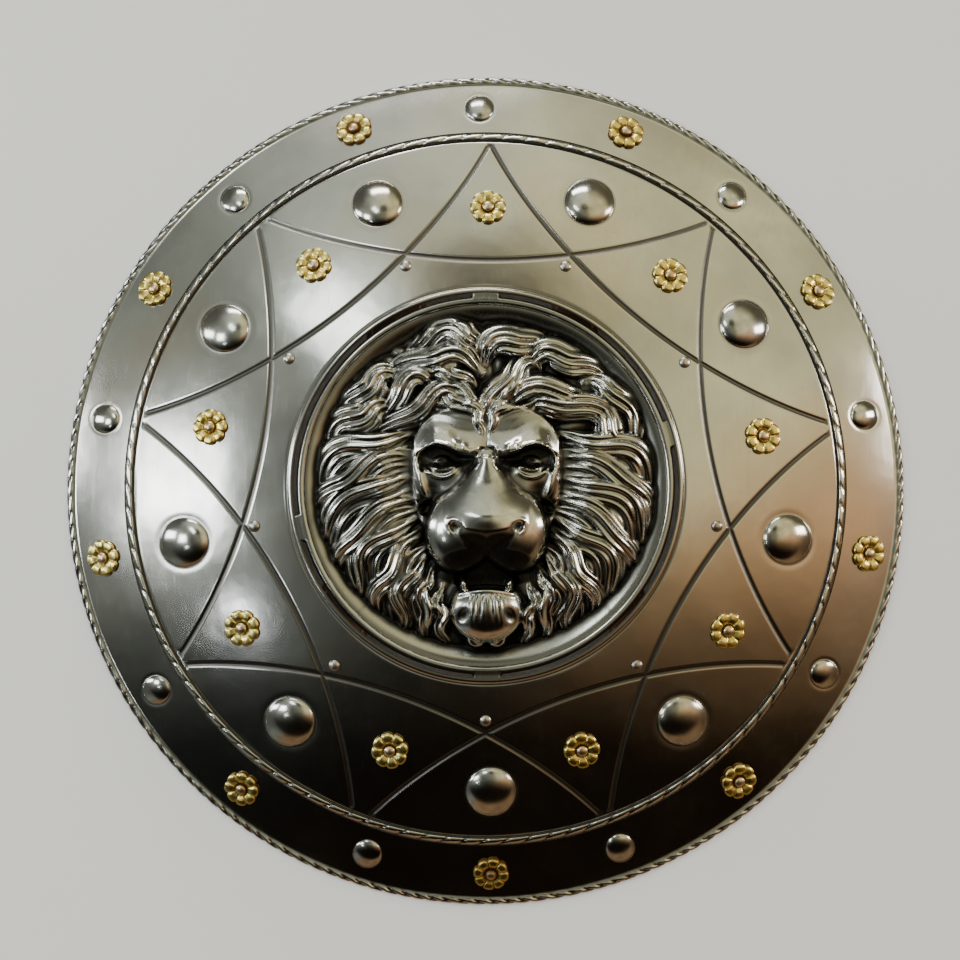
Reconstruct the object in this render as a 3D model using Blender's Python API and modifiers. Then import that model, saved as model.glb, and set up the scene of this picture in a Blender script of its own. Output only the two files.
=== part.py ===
"""Round steel shield with a lion-mask medallion, brass rosettes and two leather straps.

The shield lies face up on its rolled rim. Z is its axis, the lion's head points to +Y, and the
origin is the middle of the circle that it rests on. All lengths are in metres, apart from the
relief of the lion's mask, whose functions work in millimetres on the medallion's own plane.
"""

import math

import bmesh
import bpy
import numpy as np
from mathutils import Matrix, Vector
from mathutils.geometry import delaunay_2d_cdt

MM = 0.001

# Domed plate
SHIELD_RADIUS = 0.305
DOME_DEPTH = 0.080
SHEET = 0.0015
SQUASH = 0.011
SQUASH_FROM = 0.150
SQUASH_TO = 0.250
DOME_RADIUS = (SHIELD_RADIUS**2 + DOME_DEPTH**2) / (2 * DOME_DEPTH)

# Rolled edge: rings of its section as fractions of its radius, from the front face to the back face
ROLL_RADIUS = 0.003
ROLL_CENTRE = SHIELD_RADIUS - ROLL_RADIUS
ROLL_SECTION = ((-0.45, 0.93), (0.55, 0.85), (1.0, 0.0), (0.45, -1.0), (-0.5, -1.0))
ROLL_SIDES = 72
ROLL_JOIN_FRONT = ROLL_CENTRE - 0.0026
ROLL_JOIN_BACK = ROLL_CENTRE - 0.0030

# Bead ring inside the rim band and the lip of the opening: radius and height above the dome
RING_SECTION = ((0.2530, 0.0), (0.2550, -0.0010), (0.2576, 0.0016), (0.2604, 0.0))
RING_SIDES = 54
LIP_SECTION = ((0.1370, 0.0009), (0.1396, -0.0004), (0.1424, 0.0))
LIP_SIDES = 54
BACK_RINGS = ((0.178, 45), (0.218, 45), (0.258, 54))

# Nine-fold layout: a star point, and halfway between two points
POINTS = 9
SECTOR = math.tau / POINTS
FIRST_POINT = math.pi / 2
FIRST_MIDDLE = FIRST_POINT + SECTOR / 2

# Star of arcs that bulge towards the middle, each from one point to the next but one
STAR_NEAREST = 0.1614
STAR_ARC_CENTRE = 0.550
STAR_ARC_RADIUS = STAR_ARC_CENTRE - STAR_NEAREST
STAR_ARC_SPAN = math.radians(47.5)
STAR_ARC_STATIONS = 7
GROOVE_HALF_WIDTH = 0.0016
GROOVE_DEPTH = 0.0009

# Bosses embossed in the sheet
BIG_BOSS_AT = 0.220
BIG_BOSS_RADIUS = 0.018
BIG_BOSS_HEIGHT = 0.0072
SMALL_BOSS_AT = 0.2805
SMALL_BOSS_RADIUS = 0.0105
SMALL_BOSS_HEIGHT = 0.0040

# Rosettes and rivets
RIM_ROSETTE_AT = 0.2815
STAR_ROSETTE_AT = 0.2015
PLATE_RIVET_AT = 0.1672

# How far each of the nine was set off the even layout by hand, in degrees against the clock
STAR_ARC_DRIFT = (-0.4, 0.0, 0.0, 0.0, 0.0, 0.0, -1.5, 0.0, -1.5)
BIG_BOSS_DRIFT = (0.7, 0.1, 2.4, 0.0, -0.2, 1.0, 0.5, 0.6, -1.5)
SMALL_BOSS_DRIFT = (0.9, 0.2, 1.0, 1.0, 0.3, 2.3, 1.8, -0.4, 0.6)
RIM_ROSETTE_DRIFT = (-0.1, -1.3, 0.9, 0.2, 0.5, 0.8, 1.3, 0.5, -1.4)
STAR_ROSETTE_DRIFT = (-0.5, -1.0, 0.3, -1.0, -0.1, 0.2, 0.4, -2.2, -2.3)
PLATE_RIVET_DRIFT = (0.0, 0.0, 1.8, 0.0, 0.0, 0.0, 0.0, 0.0, -2.9)
PETALS = 8
ROSETTE_RADIUS = 0.0131
ROSETTE_NOTCH = 0.0115
ROSETTE_CREST = 0.0092
ROSETTE_HEIGHT = 0.0034
ROSETTE_DISH = 0.0016
ROSETTE_SEAT = 0.0021
HOLE_RADIUS = 0.0026
SHANK_RADIUS = 0.0018
RIVET_SIDES = 6
HEAD_RADIUS = 0.0041
HEAD_HEIGHT = 0.0024
TAIL_RADIUS = 0.0030
TAIL_HEIGHT = 0.0010
GAP = 0.0003
BACK_CLEARANCE = 0.0009

# Leather straps on the back, each between two of the plate rivets
STRAP_THICKNESS = 0.0035
STRAP_DROP = 0.058
STRAP_OVERHANG = 0.013
STRAP_STATIONS = 15
ARM_STRAP = (1, 7, 0.038)
HAND_GRIP = (2, 5, 0.030)

# Medallion, in millimetres
MEDALLION_RADIUS = 134.4
RIM_CREST = 131.4
RIM_HALF_WIDTH = 3.0
RIM_HEIGHT = 2.6
COVE_TOP = 128.0
COVE_FOOT = 107.0
COVE_DEPTH = 9.0
RELIEF = 0.92
MEDALLION_DROP = 0.7
WALL = 2.0
HOLLOW_RADIUS = 100.0
HOLLOW_HEIGHT = 15.0
HEAD_HOLLOW = 10.0
TAB_REACH = 136.2
TAB_HALF_WIDTH = math.radians(4.0)
TAB_ANGLES = tuple(math.radians(a) for a in (15.6, 90.0, 193.0, 270.5))
GRID_RINGS = 56
GRID_SHARES = (0, 0.86, 0.92, 0.95, 0.975, 1)
GRID_RADII = (0, 119, 127.6, 129.4, RIM_CREST, MEDALLION_RADIUS)
BOSS_TRIANGLES = 2540

# Lion's mask, in millimetres
FACE_AXIS = 0.6
LOCK_STATIONS = 26
LOCK_WAVE = 4.4
MANE_RADII = (120.0, 117.5)
STRAND_DEPTH = 2.6

# Locks of the mane: root, leaving angle, tip, arriving angle, width, height, strands
LEFT_CROWN = (
    (-3, 96, 118, -58, 95, 205, 32, 17, 5),
    (-4, 80, 130, -74, 79, 200, 28, 17, 4),
    (-8, 70, 125, -46, 68, 250, 19, 17, 3),
    (-3, 40, 104, -34, 60, 285, 24, 18, 4),
    (-34, 70, 120, -73, 44, 262, 22, 17, 3),
    (-1, 31, 98, -19, 57, 142, 14, 16, 3),
    (-12, 54, 125, -84, 30, 215, 23, 18, 4),
    (-62, 78, 165, -109, 40, 235, 33, 14, 5),
    (-66, 56, 175, -115, 20, 240, 31, 15, 4),
)
RIGHT_CROWN = (
    (-2, 86, 82, 46, 95, 300, 28, 17, 4),
    (3, 40, 100, 40, 80, 300, 26, 18, 4),
    (7, 52, 92, 42, 64, 320, 19, 17, 3),
    (14, 52, 60, 74, 46, 262, 24, 18, 4),
    (32, 84, 60, 90, 70, 300, 28, 16, 4),
    (1, 31, 82, 17, 56, 40, 14, 16, 3),
    (72, 74, 10, 106, 20, 262, 32, 15, 5),
    (66, 52, -5, 100, 14, 275, 26, 15, 4),
    (22, 52, 30, 104, 22, 300, 24, 18, 4),
)
SIDE_LOCKS = (
    (52, 36, -8, 120, -16, -100, 24, 16, 3),
    (54, 20, -2, 119, -38, -98, 24, 17, 3),
    (54, 5, -4, 114, -62, -112, 24, 17, 3),
    (52, -10, -14, 103, -80, -110, 23, 17, 3),
    (50, -24, -22, 90, -95, -105, 22, 17, 3),
    (47, -37, -32, 75, -103, -100, 20, 16, 3),
    (43, -51, -45, 58, -110, -95, 18, 16, 3),
    (38, -64, -58, 42, -114, -92, 16, 15, 2),
    (31, -78, -70, 26, -116, -100, 14, 14, 2),
)

# Locks that lie on the forehead, in the same order
FRINGE = (
    (-1, 33, 96, -9, 64, 112, 9, 4.5, 3),
    (-3, 36, 100, -24, 64, 158, 10, 5.0, 3),
    (-6, 47, 120, -43, 62, 200, 12, 5.5, 3),
    (2, 34, 80, 11, 66, 66, 9, 4.5, 3),
    (3, 38, 74, 27, 66, 30, 10, 5.0, 3),
    (8, 52, 66, 44, 60, 338, 12, 5.5, 3),
)

# Outline of the face and the muzzle, as stations and values
FACE_HALF_WIDTH = ((-72, -64, -50, -34, -18, 0, 30, 40, 50), (34, 37.5, 41.5, 45, 50, 53, 53, 51, 45))
HAIRLINE = ((0, 6, 14, 24, 36, 46, 53), (60, 60, 58, 55.5, 51, 43, 30))
BROW_LOW = ((0, 5, 12, 20, 28, 36, 42, 47, 53), (19.5, 18.6, 18.2, 20.2, 24.2, 25.6, 23.8, 20, 18))
BROW_HIGH = ((0, 5, 12, 20, 28, 36, 42, 47, 53), (26.5, 24.5, 22.4, 23.4, 27.2, 28.6, 26.6, 23.5, 21))
BROW_STEP = ((0, 5, 12, 20, 36, 42, 47, 53), (4.0, 5.0, 7.5, 8.5, 8.5, 6.5, 3.0, 0.5))
CHEEKBONE = ((-12, -6, 6, 16, 24), (40, 43.5, 47.3, 48.3, 48))
MUZZLE_TOP = (
    (-62, -54, -46, -40, -34, -26, -18, -8, 4, 16, 26, 34),
    (13, 23, 31, 35.4, 37.1, 37.6, 37.1, 36, 33.8, 31, 26.5, 18),
)
MUZZLE_HALF_WIDTH = (
    (-62, -54, -46, -30, -22, -16, -10, -3, 4, 9, 15, 22, 32),
    (31, 37, 41.5, 43, 40.5, 37, 32.5, 26.5, 20, 15, 9, 8, 8),
)
MUZZLE_FALL = ((-60, -46, -30, -10, 4, 15, 30), (12, 14, 15, 16, 15, 9, 3))


def clear_scene():
    for obj in list(bpy.data.objects):
        bpy.data.objects.remove(obj, do_unlink=True)


def collection(name):
    made = bpy.data.collections.new(name)
    bpy.context.scene.collection.children.link(made)
    return made


def material(name, colour, roughness, metallic):
    made = bpy.data.materials.new(name)
    made.use_nodes = True
    shader = made.node_tree.nodes["Principled BSDF"]
    shader.inputs["Base Color"].default_value = (*colour, 1.0)
    shader.inputs["Roughness"].default_value = roughness
    shader.inputs["Metallic"].default_value = metallic
    return made


def add_object(name, mesh, finish, group, place=None):
    obj = bpy.data.objects.new(name, mesh)
    if not mesh.materials:
        mesh.materials.append(finish)
    if place is not None:
        obj.matrix_world = place
    group.objects.link(obj)
    return obj


def finished_mesh(name, bm, sharp=35.0):
    """A closed mesh with its faces pointing out, shaded smooth apart from its sharp edges."""
    bmesh.ops.recalc_face_normals(bm, faces=bm.faces)
    mesh = bpy.data.meshes.new(name)
    bm.to_mesh(mesh)
    bm.free()
    mesh.shade_smooth()
    mesh.set_sharp_from_angle(angle=math.radians(sharp))
    return mesh


# The plate's form


def squash(x, y):
    """The outer part of the plate is a little narrower along Y than along X."""
    t = min(max((math.hypot(x, y) - SQUASH_FROM) / (SQUASH_TO - SQUASH_FROM), 0.0), 1.0)
    return x, y * (1 - SQUASH * t * t * (3 - 2 * t))


def front_dome(r):
    """Height of the plate's front face at a radius, with nothing worked in it."""
    edge = math.sqrt(DOME_RADIUS**2 - ROLL_CENTRE**2)
    slope = ROLL_CENTRE / DOME_RADIUS
    lift = ROLL_RADIUS + 0.5 * SHEET / math.sqrt(1 - slope**2)
    return math.sqrt(DOME_RADIUS**2 - r * r) - edge + lift


def back_dome(r):
    """Height of the plate's back face, which is the front face's sphere less the sheet."""
    centre = front_dome(0.0) - DOME_RADIUS
    return centre + math.sqrt((DOME_RADIUS - SHEET) ** 2 - r * r)


def dome_normal(x, y):
    z = math.sqrt(DOME_RADIUS**2 - x * x - y * y)
    return Vector((x, y, z)).normalized()


def at(radius, angle):
    return radius * math.cos(angle), radius * math.sin(angle)


def row_of(first, radius, drift):
    """The nine places at a radius, going clockwise from the first angle, each with its drift."""
    return [at(radius, first - i * SECTOR + math.radians(off)) for i, off in enumerate(drift)]


def circle(radius, sides, centre=(0.0, 0.0)):
    return [
        (centre[0] + radius * math.cos(a), centre[1] + radius * math.sin(a))
        for a in (math.tau * i / sides for i in range(sides))
    ]


def section_height(r, section):
    """Height above the dome from a section of radii and heights, nothing outside it."""
    return float(np.interp(r, [p[0] for p in section], [p[1] for p in section], left=0.0, right=0.0))


def star_depth(x, y):
    """Depth of the star's pressed lines at a point."""
    nearest = min(
        abs(math.hypot(x - cx, y - cy) - STAR_ARC_RADIUS)
        for cx, cy in STAR_ARCS
    )
    return GROOVE_DEPTH * max(0.0, 1 - nearest / GROOVE_HALF_WIDTH)


def boss_height(x, y, centres, radius, height):
    nearest = min(math.hypot(x - cx, y - cy) for cx, cy in centres)
    return height * max(0.0, 1 - (nearest / radius) ** 2) ** 0.85


STAR_ARCS = row_of(FIRST_POINT, STAR_ARC_CENTRE, STAR_ARC_DRIFT)
BIG_BOSSES = row_of(FIRST_MIDDLE, BIG_BOSS_AT, BIG_BOSS_DRIFT)
SMALL_BOSSES = row_of(FIRST_POINT, SMALL_BOSS_AT, SMALL_BOSS_DRIFT)
RIM_ROSETTES = row_of(FIRST_MIDDLE, RIM_ROSETTE_AT, RIM_ROSETTE_DRIFT)
STAR_ROSETTES = row_of(FIRST_POINT, STAR_ROSETTE_AT, STAR_ROSETTE_DRIFT)
PLATE_RIVETS = row_of(FIRST_MIDDLE, PLATE_RIVET_AT, PLATE_RIVET_DRIFT)


def front_height(x, y):
    r = math.hypot(x, y)
    z = front_dome(r) + section_height(r, RING_SECTION) + section_height(r, LIP_SECTION)
    if r < RING_SECTION[0][0]:
        z -= star_depth(x, y)
    z += boss_height(x, y, BIG_BOSSES, BIG_BOSS_RADIUS, BIG_BOSS_HEIGHT)
    z += boss_height(x, y, SMALL_BOSSES, SMALL_BOSS_RADIUS, SMALL_BOSS_HEIGHT)
    return z


class Plan:
    """Loops and lines seen from above, triangulated and then lifted to a height."""

    def __init__(self):
        self.points = []
        self.edges = []

    def line(self, points, closed=False):
        first = len(self.points)
        self.points += [Vector(p) for p in points]
        ids = list(range(first, len(self.points)))
        self.edges += list(zip(ids[:-1], ids[1:]))
        if closed:
            self.edges.append((ids[-1], ids[0]))
        return ids

    def loop(self, points):
        return self.line(points, closed=True)

    def lift(self, bm, height, holes):
        """Adds the surface to bm, open inside the holes, and returns the vertex made for each input point."""
        points, _, faces, sources, _, _ = delaunay_2d_cdt(self.points, self.edges, [], 0, 1e-7)
        made = [bm.verts.new((*squash(*p), height(*p))) for p in points]
        for face in faces:
            middle = sum((points[i] for i in face), Vector((0.0, 0.0))) / len(face)
            if not any((middle - Vector(c)).length < r for c, r in holes):
                bm.faces.new([made[i] for i in face])
        return {source: made[i] for i, found in enumerate(sources) for source in found}


def join_loops(bm, first, second):
    """A closed strip between two loops of as many vertices."""
    for i in range(len(first)):
        j = (i + 1) % len(first)
        bm.faces.new((first[i], first[j], second[j], second[i]))


def through_hole(centre):
    """A rivet hole's outline on the front face and, square through the sheet, on the back face."""
    normal = dome_normal(*centre)
    behind = (centre[0] - SHEET * normal.x, centre[1] - SHEET * normal.y)
    return circle(HOLE_RADIUS, RIVET_SIDES, centre), circle(HOLE_RADIUS, RIVET_SIDES, behind)


def star_lines():
    """Two lips and the bottom of each pressed line, as runs of points along its arc."""
    turns = np.linspace(-STAR_ARC_SPAN / 2, STAR_ARC_SPAN / 2, STAR_ARC_STATIONS)
    lines = []
    for centre in STAR_ARCS:
        axis = math.atan2(centre[1], centre[0])
        for offset in (-GROOVE_HALF_WIDTH, 0.0, GROOVE_HALF_WIDTH):
            radius = STAR_ARC_RADIUS + offset
            lines.append(
                [(centre[0] - x, centre[1] - y) for x, y in (at(radius, axis + t) for t in turns)]
            )
    return lines


def rivet_places():
    return RIM_ROSETTES + STAR_ROSETTES + PLATE_RIVETS


def shield_plate(finish, group):
    front, back = Plan(), Plan()
    opening_front, *_ = [front.loop(circle(r, LIP_SIDES)) for r, _ in LIP_SECTION]
    opening_back = back.loop(circle(LIP_SECTION[0][0], LIP_SIDES))
    for radius, _ in RING_SECTION:
        front.loop(circle(radius, RING_SIDES))
    for radius, sides in BACK_RINGS:
        back.loop(circle(radius, sides))
    join_front = front.loop(circle(ROLL_JOIN_FRONT, ROLL_SIDES))
    join_back = back.loop(circle(ROLL_JOIN_BACK, ROLL_SIDES))
    for centre in BIG_BOSSES:
        front.loop(circle(BIG_BOSS_RADIUS, 10, centre))
        front.loop(circle(0.6 * BIG_BOSS_RADIUS, 10, centre))
        front.line([centre])
    for centre in SMALL_BOSSES:
        front.loop(circle(SMALL_BOSS_RADIUS, 7, centre))
        front.loop(circle(0.5 * SMALL_BOSS_RADIUS, 5, centre))
    for line in star_lines():
        front.line(line)
    holes = [through_hole(centre) for centre in rivet_places()]
    hole_ids = [(front.loop(a), back.loop(b)) for a, b in holes]
    opening = [((0.0, 0.0), LIP_SECTION[0][0] * math.cos(math.pi / LIP_SIDES))]
    front_holes = opening + [(c, 0.8 * HOLE_RADIUS) for c in rivet_places()]
    back_holes = opening + [
        ((c[0] - SHEET * dome_normal(*c).x, c[1] - SHEET * dome_normal(*c).y), 0.8 * HOLE_RADIUS)
        for c in rivet_places()
    ]
    bm = bmesh.new()
    front_at = front.lift(bm, front_height, front_holes)
    back_at = back.lift(bm, lambda x, y: back_dome(math.hypot(x, y)), back_holes)
    join_loops(bm, [front_at[i] for i in opening_front], [back_at[i] for i in opening_back])
    for a, b in hole_ids:
        join_loops(bm, [front_at[i] for i in a], [back_at[i] for i in b])
    rings = [[front_at[i] for i in join_front]]
    for out, up in ROLL_SECTION:
        radius = ROLL_CENTRE + out * ROLL_RADIUS
        height = ROLL_RADIUS * (1 + up)
        rings.append([bm.verts.new((*squash(*p), height)) for p in circle(radius, ROLL_SIDES)])
    rings.append([back_at[i] for i in join_back])
    for inner, outer in zip(rings[:-1], rings[1:]):
        join_loops(bm, inner, outer)
    return add_object("shield_plate", finished_mesh("shield_plate", bm), finish, group)


# Rosettes and rivets


def seat(x, y):
    """The place on the plate's front face above a plan point, with Z along the face's normal."""
    px, py = squash(x, y)
    normal = dome_normal(x, y)
    along = Vector((-y, x, 0.0)).normalized()
    out = along.cross(normal)
    turn = Matrix((out, along, normal)).transposed()
    return Matrix.Translation((px, py, front_dome(math.hypot(x, y)))) @ turn.to_4x4()


def rosette_mesh():
    """Eight round petals that rise to a crest and dip to the hole in the middle."""
    bm = bmesh.new()
    step = math.pi / PETALS

    def ring(radius, height):
        return [bm.verts.new((*point, height)) for point in circle(radius, PETALS)]

    def stitch(outline, inner):
        for i in range(PETALS):
            before, tip, after = (outline[(2 * i + k) % (2 * PETALS)] for k in (-1, 0, 1))
            bm.faces.new((before, tip, inner[i]))
            bm.faces.new((tip, after, inner[i]))
            bm.faces.new((after, inner[(i + 1) % PETALS], inner[i]))

    outline = []
    for i in range(2 * PETALS):
        radius = ROSETTE_NOTCH if i % 2 else ROSETTE_RADIUS
        outline.append(bm.verts.new((*at(radius, i * step), GAP)))
    crest = ring(ROSETTE_CREST, ROSETTE_HEIGHT)
    hole_top = ring(HOLE_RADIUS, ROSETTE_DISH)
    hole_bottom = ring(HOLE_RADIUS, GAP)
    stitch(outline, crest)
    stitch(outline, hole_bottom)
    join_loops(bm, crest, hole_top)
    join_loops(bm, hole_top, hole_bottom)
    return finished_mesh("rosette", bm, 60.0)


def rivet_mesh(name, seat_height, grip):
    """A domed head on seat_height above the plate's face, a shank, and a tail beyond what it grips."""
    under = seat_height + GAP
    tail = -grip - BACK_CLEARANCE
    profile = (
        (0.0, under + HEAD_HEIGHT),
        (0.68 * HEAD_RADIUS, under + 0.72 * HEAD_HEIGHT),
        (HEAD_RADIUS, under),
        (SHANK_RADIUS, under),
        (SHANK_RADIUS, tail),
        (TAIL_RADIUS, tail),
        (0.0, tail - TAIL_HEIGHT),
    )
    mesh = bpy.data.meshes.new(name)
    mesh.from_pydata([(r, 0.0, z) for r, z in profile], [(i, i + 1) for i in range(len(profile) - 1)], [])
    obj = bpy.data.objects.new(name, mesh)
    bpy.context.scene.collection.objects.link(obj)
    screw = obj.modifiers.new("Turn", "SCREW")
    screw.steps = screw.render_steps = RIVET_SIDES
    screw.use_merge_vertices = True
    screw.merge_threshold = 0.00001
    graph = bpy.context.evaluated_depsgraph_get()
    turned = bpy.data.meshes.new_from_object(obj.evaluated_get(graph))
    bpy.data.objects.remove(obj, do_unlink=True)
    turned.shade_smooth()
    turned.set_sharp_from_angle(angle=math.radians(50))
    turned.name = name
    return turned


def rosettes_and_rivets(brass, steel, group):
    rosette = rosette_mesh()
    rosette_rivet = rivet_mesh("rosette_rivet", ROSETTE_SEAT, SHEET)
    for row, places in (("rim", RIM_ROSETTES), ("star", STAR_ROSETTES)):
        for i, place in enumerate(places, 1):
            add_object(f"rosette_{row}_{i}", rosette, brass, group, seat(*place))
            add_object(f"rosette_{row}_rivet_{i}", rosette_rivet, steel, group, seat(*place))
    short = rivet_mesh("plate_rivet", 0.0, SHEET)
    long = rivet_mesh("strap_rivet", 0.0, SHEET + BACK_CLEARANCE + STRAP_THICKNESS)
    strapped = set(ARM_STRAP[:2] + HAND_GRIP[:2])
    for i, place in enumerate(PLATE_RIVETS, 1):
        add_object(f"plate_rivet_{i}", long if i in strapped else short, steel, group, seat(*place))


# Leather straps


def strap(name, ends, width, leather, group, cutters):
    """A flat strap that hangs in an arch between two rivets, its ends laid against the plate's back."""
    first, last = (Vector(PLATE_RIVETS[i - 1]) for i in ends)
    run = last - first
    along = run.normalized()
    across = Vector((-along.y, along.x))
    reach = STRAP_OVERHANG / run.length
    bm = bmesh.new()
    rings = []
    for t in np.linspace(-reach, 1 + reach, STRAP_STATIONS):
        drop = STRAP_DROP * math.sin(math.pi * min(max(t, 0.0), 1.0)) ** 2
        middle = first + run * float(t)
        ring = []
        for side, depth in ((-0.5, 0.0), (0.5, 0.0), (0.5, 1.0), (-0.5, 1.0)):
            p = middle + across * (side * width)
            z = back_dome(p.length) - BACK_CLEARANCE - drop - depth * STRAP_THICKNESS
            ring.append(bm.verts.new((p.x, p.y, z)))
        rings.append(ring)
    for a, b in zip(rings[:-1], rings[1:]):
        join_loops(bm, a, b)
    bm.faces.new(rings[0])
    bm.faces.new(rings[-1])
    obj = add_object(name, finished_mesh(name, bm), leather, group)
    for number in ends:
        punch(obj, PLATE_RIVETS[number - 1], cutters)
    return obj


def punch(obj, centre, cutters):
    bm = bmesh.new()
    bmesh.ops.create_cone(
        bm, cap_ends=True, segments=RIVET_SIDES, radius1=HOLE_RADIUS, radius2=HOLE_RADIUS, depth=0.04
    )
    mesh = bpy.data.meshes.new("rivet_hole")
    bm.to_mesh(mesh)
    bm.free()
    cutter = bpy.data.objects.new("rivet_hole", mesh)
    cutter.matrix_world = seat(*centre)
    cutter.hide_render = True
    cutter.display_type = "WIRE"
    cutters.objects.link(cutter)
    cut = obj.modifiers.new("Rivet hole", "BOOLEAN")
    cut.operation = "DIFFERENCE"
    cut.object = cutter


# The lion's mask


def ease(low, high, value):
    t = np.clip((value - low) / (high - low), 0, 1)
    return t * t * (3 - 2 * t)


def soft_max(a, b, blend):
    return 0.5 * (a + b + np.sqrt((a - b) ** 2 + blend * blend))


def through(value, curve):
    """A smooth curve through a few stations that doesn't overshoot them."""
    s, v = (np.asarray(row, float) for row in curve)
    run = np.diff(s)
    rise = np.diff(v) / run
    slope = np.zeros(len(s))
    slope[0], slope[-1] = rise[0], rise[-1]
    same = rise[:-1] * rise[1:] > 0
    slope[1:-1][same] = 2 * rise[:-1][same] * rise[1:][same] / (rise[:-1][same] + rise[1:][same])
    x = np.clip(value, s[0], s[-1])
    i = np.clip(np.searchsorted(s, x, side="right") - 1, 0, len(run) - 1)
    t = (x - s[i]) / run[i]
    start = (1 + 2 * t) * (1 - t) ** 2 * v[i] + t * (1 - t) ** 2 * run[i] * slope[i]
    return start + t * t * (3 - 2 * t) * v[i + 1] + t * t * (t - 1) * run[i] * slope[i + 1]


def turned(x, y, cx, cy, turn):
    c, s = math.cos(math.radians(turn)), math.sin(math.radians(turn))
    return (x - cx) * c + (y - cy) * s, (y - cy) * c - (x - cx) * s


def bump(x, y, cx, cy, sx, sy, turn=0.0):
    u, v = turned(x, y, cx, cy, turn)
    return np.exp(-((u / sx) ** 2) - (v / sy) ** 2)


def dome(x, y, cx, cy, rx, ry, turn=0.0, power=0.5):
    u, v = turned(x, y, cx, cy, turn)
    return np.clip(1 - (u / rx) ** 2 - (v / ry) ** 2, 0, 1) ** power


def medallion(r):
    """The rolled rim, and the cove that falls from it to the ground of the relief."""
    rim = RIM_HEIGHT * np.sqrt(np.clip(1 - ((r - RIM_CREST) / RIM_HALF_WIDTH) ** 2, 0, 1))
    return rim - COVE_DEPTH * ease(COVE_TOP, COVE_FOOT, r)


def mane_mound(x, y):
    q = (x / MANE_RADII[0]) ** 2 + ((y - 0.5) / MANE_RADII[1]) ** 2
    return -9.0 + 18.0 * np.clip(1 - q**1.5, 0, 1) ** 0.55


def lock_path(lock):
    """A curve from the lock's root to its tip with a slight wave in it."""
    x0, y0, leave, x1, y1, arrive = lock[:6]
    reach = 0.42 * math.hypot(x1 - x0, y1 - y0)
    leave, arrive = math.radians(leave), math.radians(arrive)
    start, end = np.array((x0, y0), float), np.array((x1, y1), float)
    out = start + reach * np.array((math.cos(leave), math.sin(leave)))
    back = end - reach * np.array((math.cos(arrive), math.sin(arrive)))
    t = np.linspace(0, 1, LOCK_STATIONS)[:, None]
    path = (1 - t) ** 3 * start + 3 * t * (1 - t) ** 2 * out + 3 * t * t * (1 - t) * back + t**3 * end
    step = np.gradient(path, axis=0)
    step /= np.linalg.norm(step, axis=1)[:, None]
    phase = 0.37 * abs(x0) + 0.61 * y0
    size = LOCK_WAVE * min(1.0, reach / 25)
    wave = size * np.sin(2.7 * math.pi * t + phase) * np.sin(math.pi * t)
    return path + wave * np.stack([-step[:, 1], step[:, 0]], 1) * (1 if x0 > 0 else -1)


def along_path(x, y, path):
    """How far along the path each point lies, from 0 to 1, and how far to its left."""
    best = np.full(x.shape, np.inf)
    along = np.zeros(x.shape)
    across = np.zeros(x.shape)
    for i, ((ax, ay), (dx, dy)) in enumerate(zip(path[:-1], np.diff(path, axis=0))):
        t = np.clip(((x - ax) * dx + (y - ay) * dy) / (dx * dx + dy * dy), 0, 1)
        ex, ey = x - ax - t * dx, y - ay - t * dy
        gap = ex * ex + ey * ey
        closer = gap < best
        best = np.where(closer, gap, best)
        along = np.where(closer, (i + t) / (len(path) - 1), along)
        across = np.where(closer, np.copysign(np.sqrt(gap), dx * ey - dy * ex), across)
    return along, across


def lock_height(x, y, lock, ground):
    """One lock of hair on a ground: a round ridge that tapers to its tip, made of round strands."""
    width, height, strands = lock[6:9]
    along, across = along_path(x, y, lock_path(lock))
    taper = np.sqrt(np.clip(1 - np.clip((along - 0.55) / 0.45, 0, 1) ** 2.2, 0, 1))
    root = ease(0, 0.22, along)
    half = 0.5 * width * (0.62 + 0.38 * np.sin(math.pi * along**0.9)) * taper * (0.75 + 0.25 * root)
    u = across / np.maximum(half, 0.01)
    phase = 0.7 * lock[0] + 0.4 * lock[1]
    strand = strands * (0.5 * u + 0.5) + 0.3 * np.sin(2.2 * math.pi * along + phase)
    groove = (1 - np.sqrt(np.sin(math.pi * strand) ** 2 + 0.04)) * ease(0, 0.12, along)
    groove = groove * (1 - 0.5 * ease(0.8, 1, along))
    lift = height * (0.85 + 0.25 * np.sin(math.pi * along**0.8)) * (1 - 0.5 * ease(0.5, 1.0, along))
    lift = lift * (0.6 + 0.4 * root)
    body = ground + lift * np.clip(1 - u * u, 0, 1) ** 0.46 - min(STRAND_DEPTH, 0.3 * height) * groove
    return np.where((np.abs(u) < 1) & (half > 0.05), body, -np.inf)


def mirrored(lock):
    x0, y0, leave, x1, y1, arrive = lock[:6]
    return (-x0, y0, 180 - leave, -x1, y1, 180 - arrive, *lock[6:])


def under_lock(upper, lower):
    """A shorter, lower lock that fills the gap between two neighbours."""
    x0, y0, leave, x1, y1, arrive, width, height, _ = ((a + b) / 2 for a, b in zip(upper, lower))
    return (x0 - 4, y0, leave, 0.97 * x1, 0.97 * y1, arrive, width, height - 3.5, 3)


def all_locks():
    under = [under_lock(a, b) for a, b in zip(SIDE_LOCKS[:-1], SIDE_LOCKS[1:])]
    sides = [both for lock in under + list(SIDE_LOCKS) for both in (lock, mirrored(lock))]
    return sides + list(LEFT_CROWN) + list(RIGHT_CROWN)


def laid_locks(x, y, z, locks, ground):
    """The height with the locks laid on a ground, the higher surface winning."""
    z = z.copy()
    for lock in locks:
        path, width = lock_path(lock), lock[6]
        low, high = path.min(0) - width, path.max(0) + width
        near = (x > low[0]) & (x < high[0]) & (y > low[1]) & (y < high[1])
        z[near] = np.maximum(z[near], lock_height(x[near], y[near], lock, ground[near]))
    return z


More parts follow.
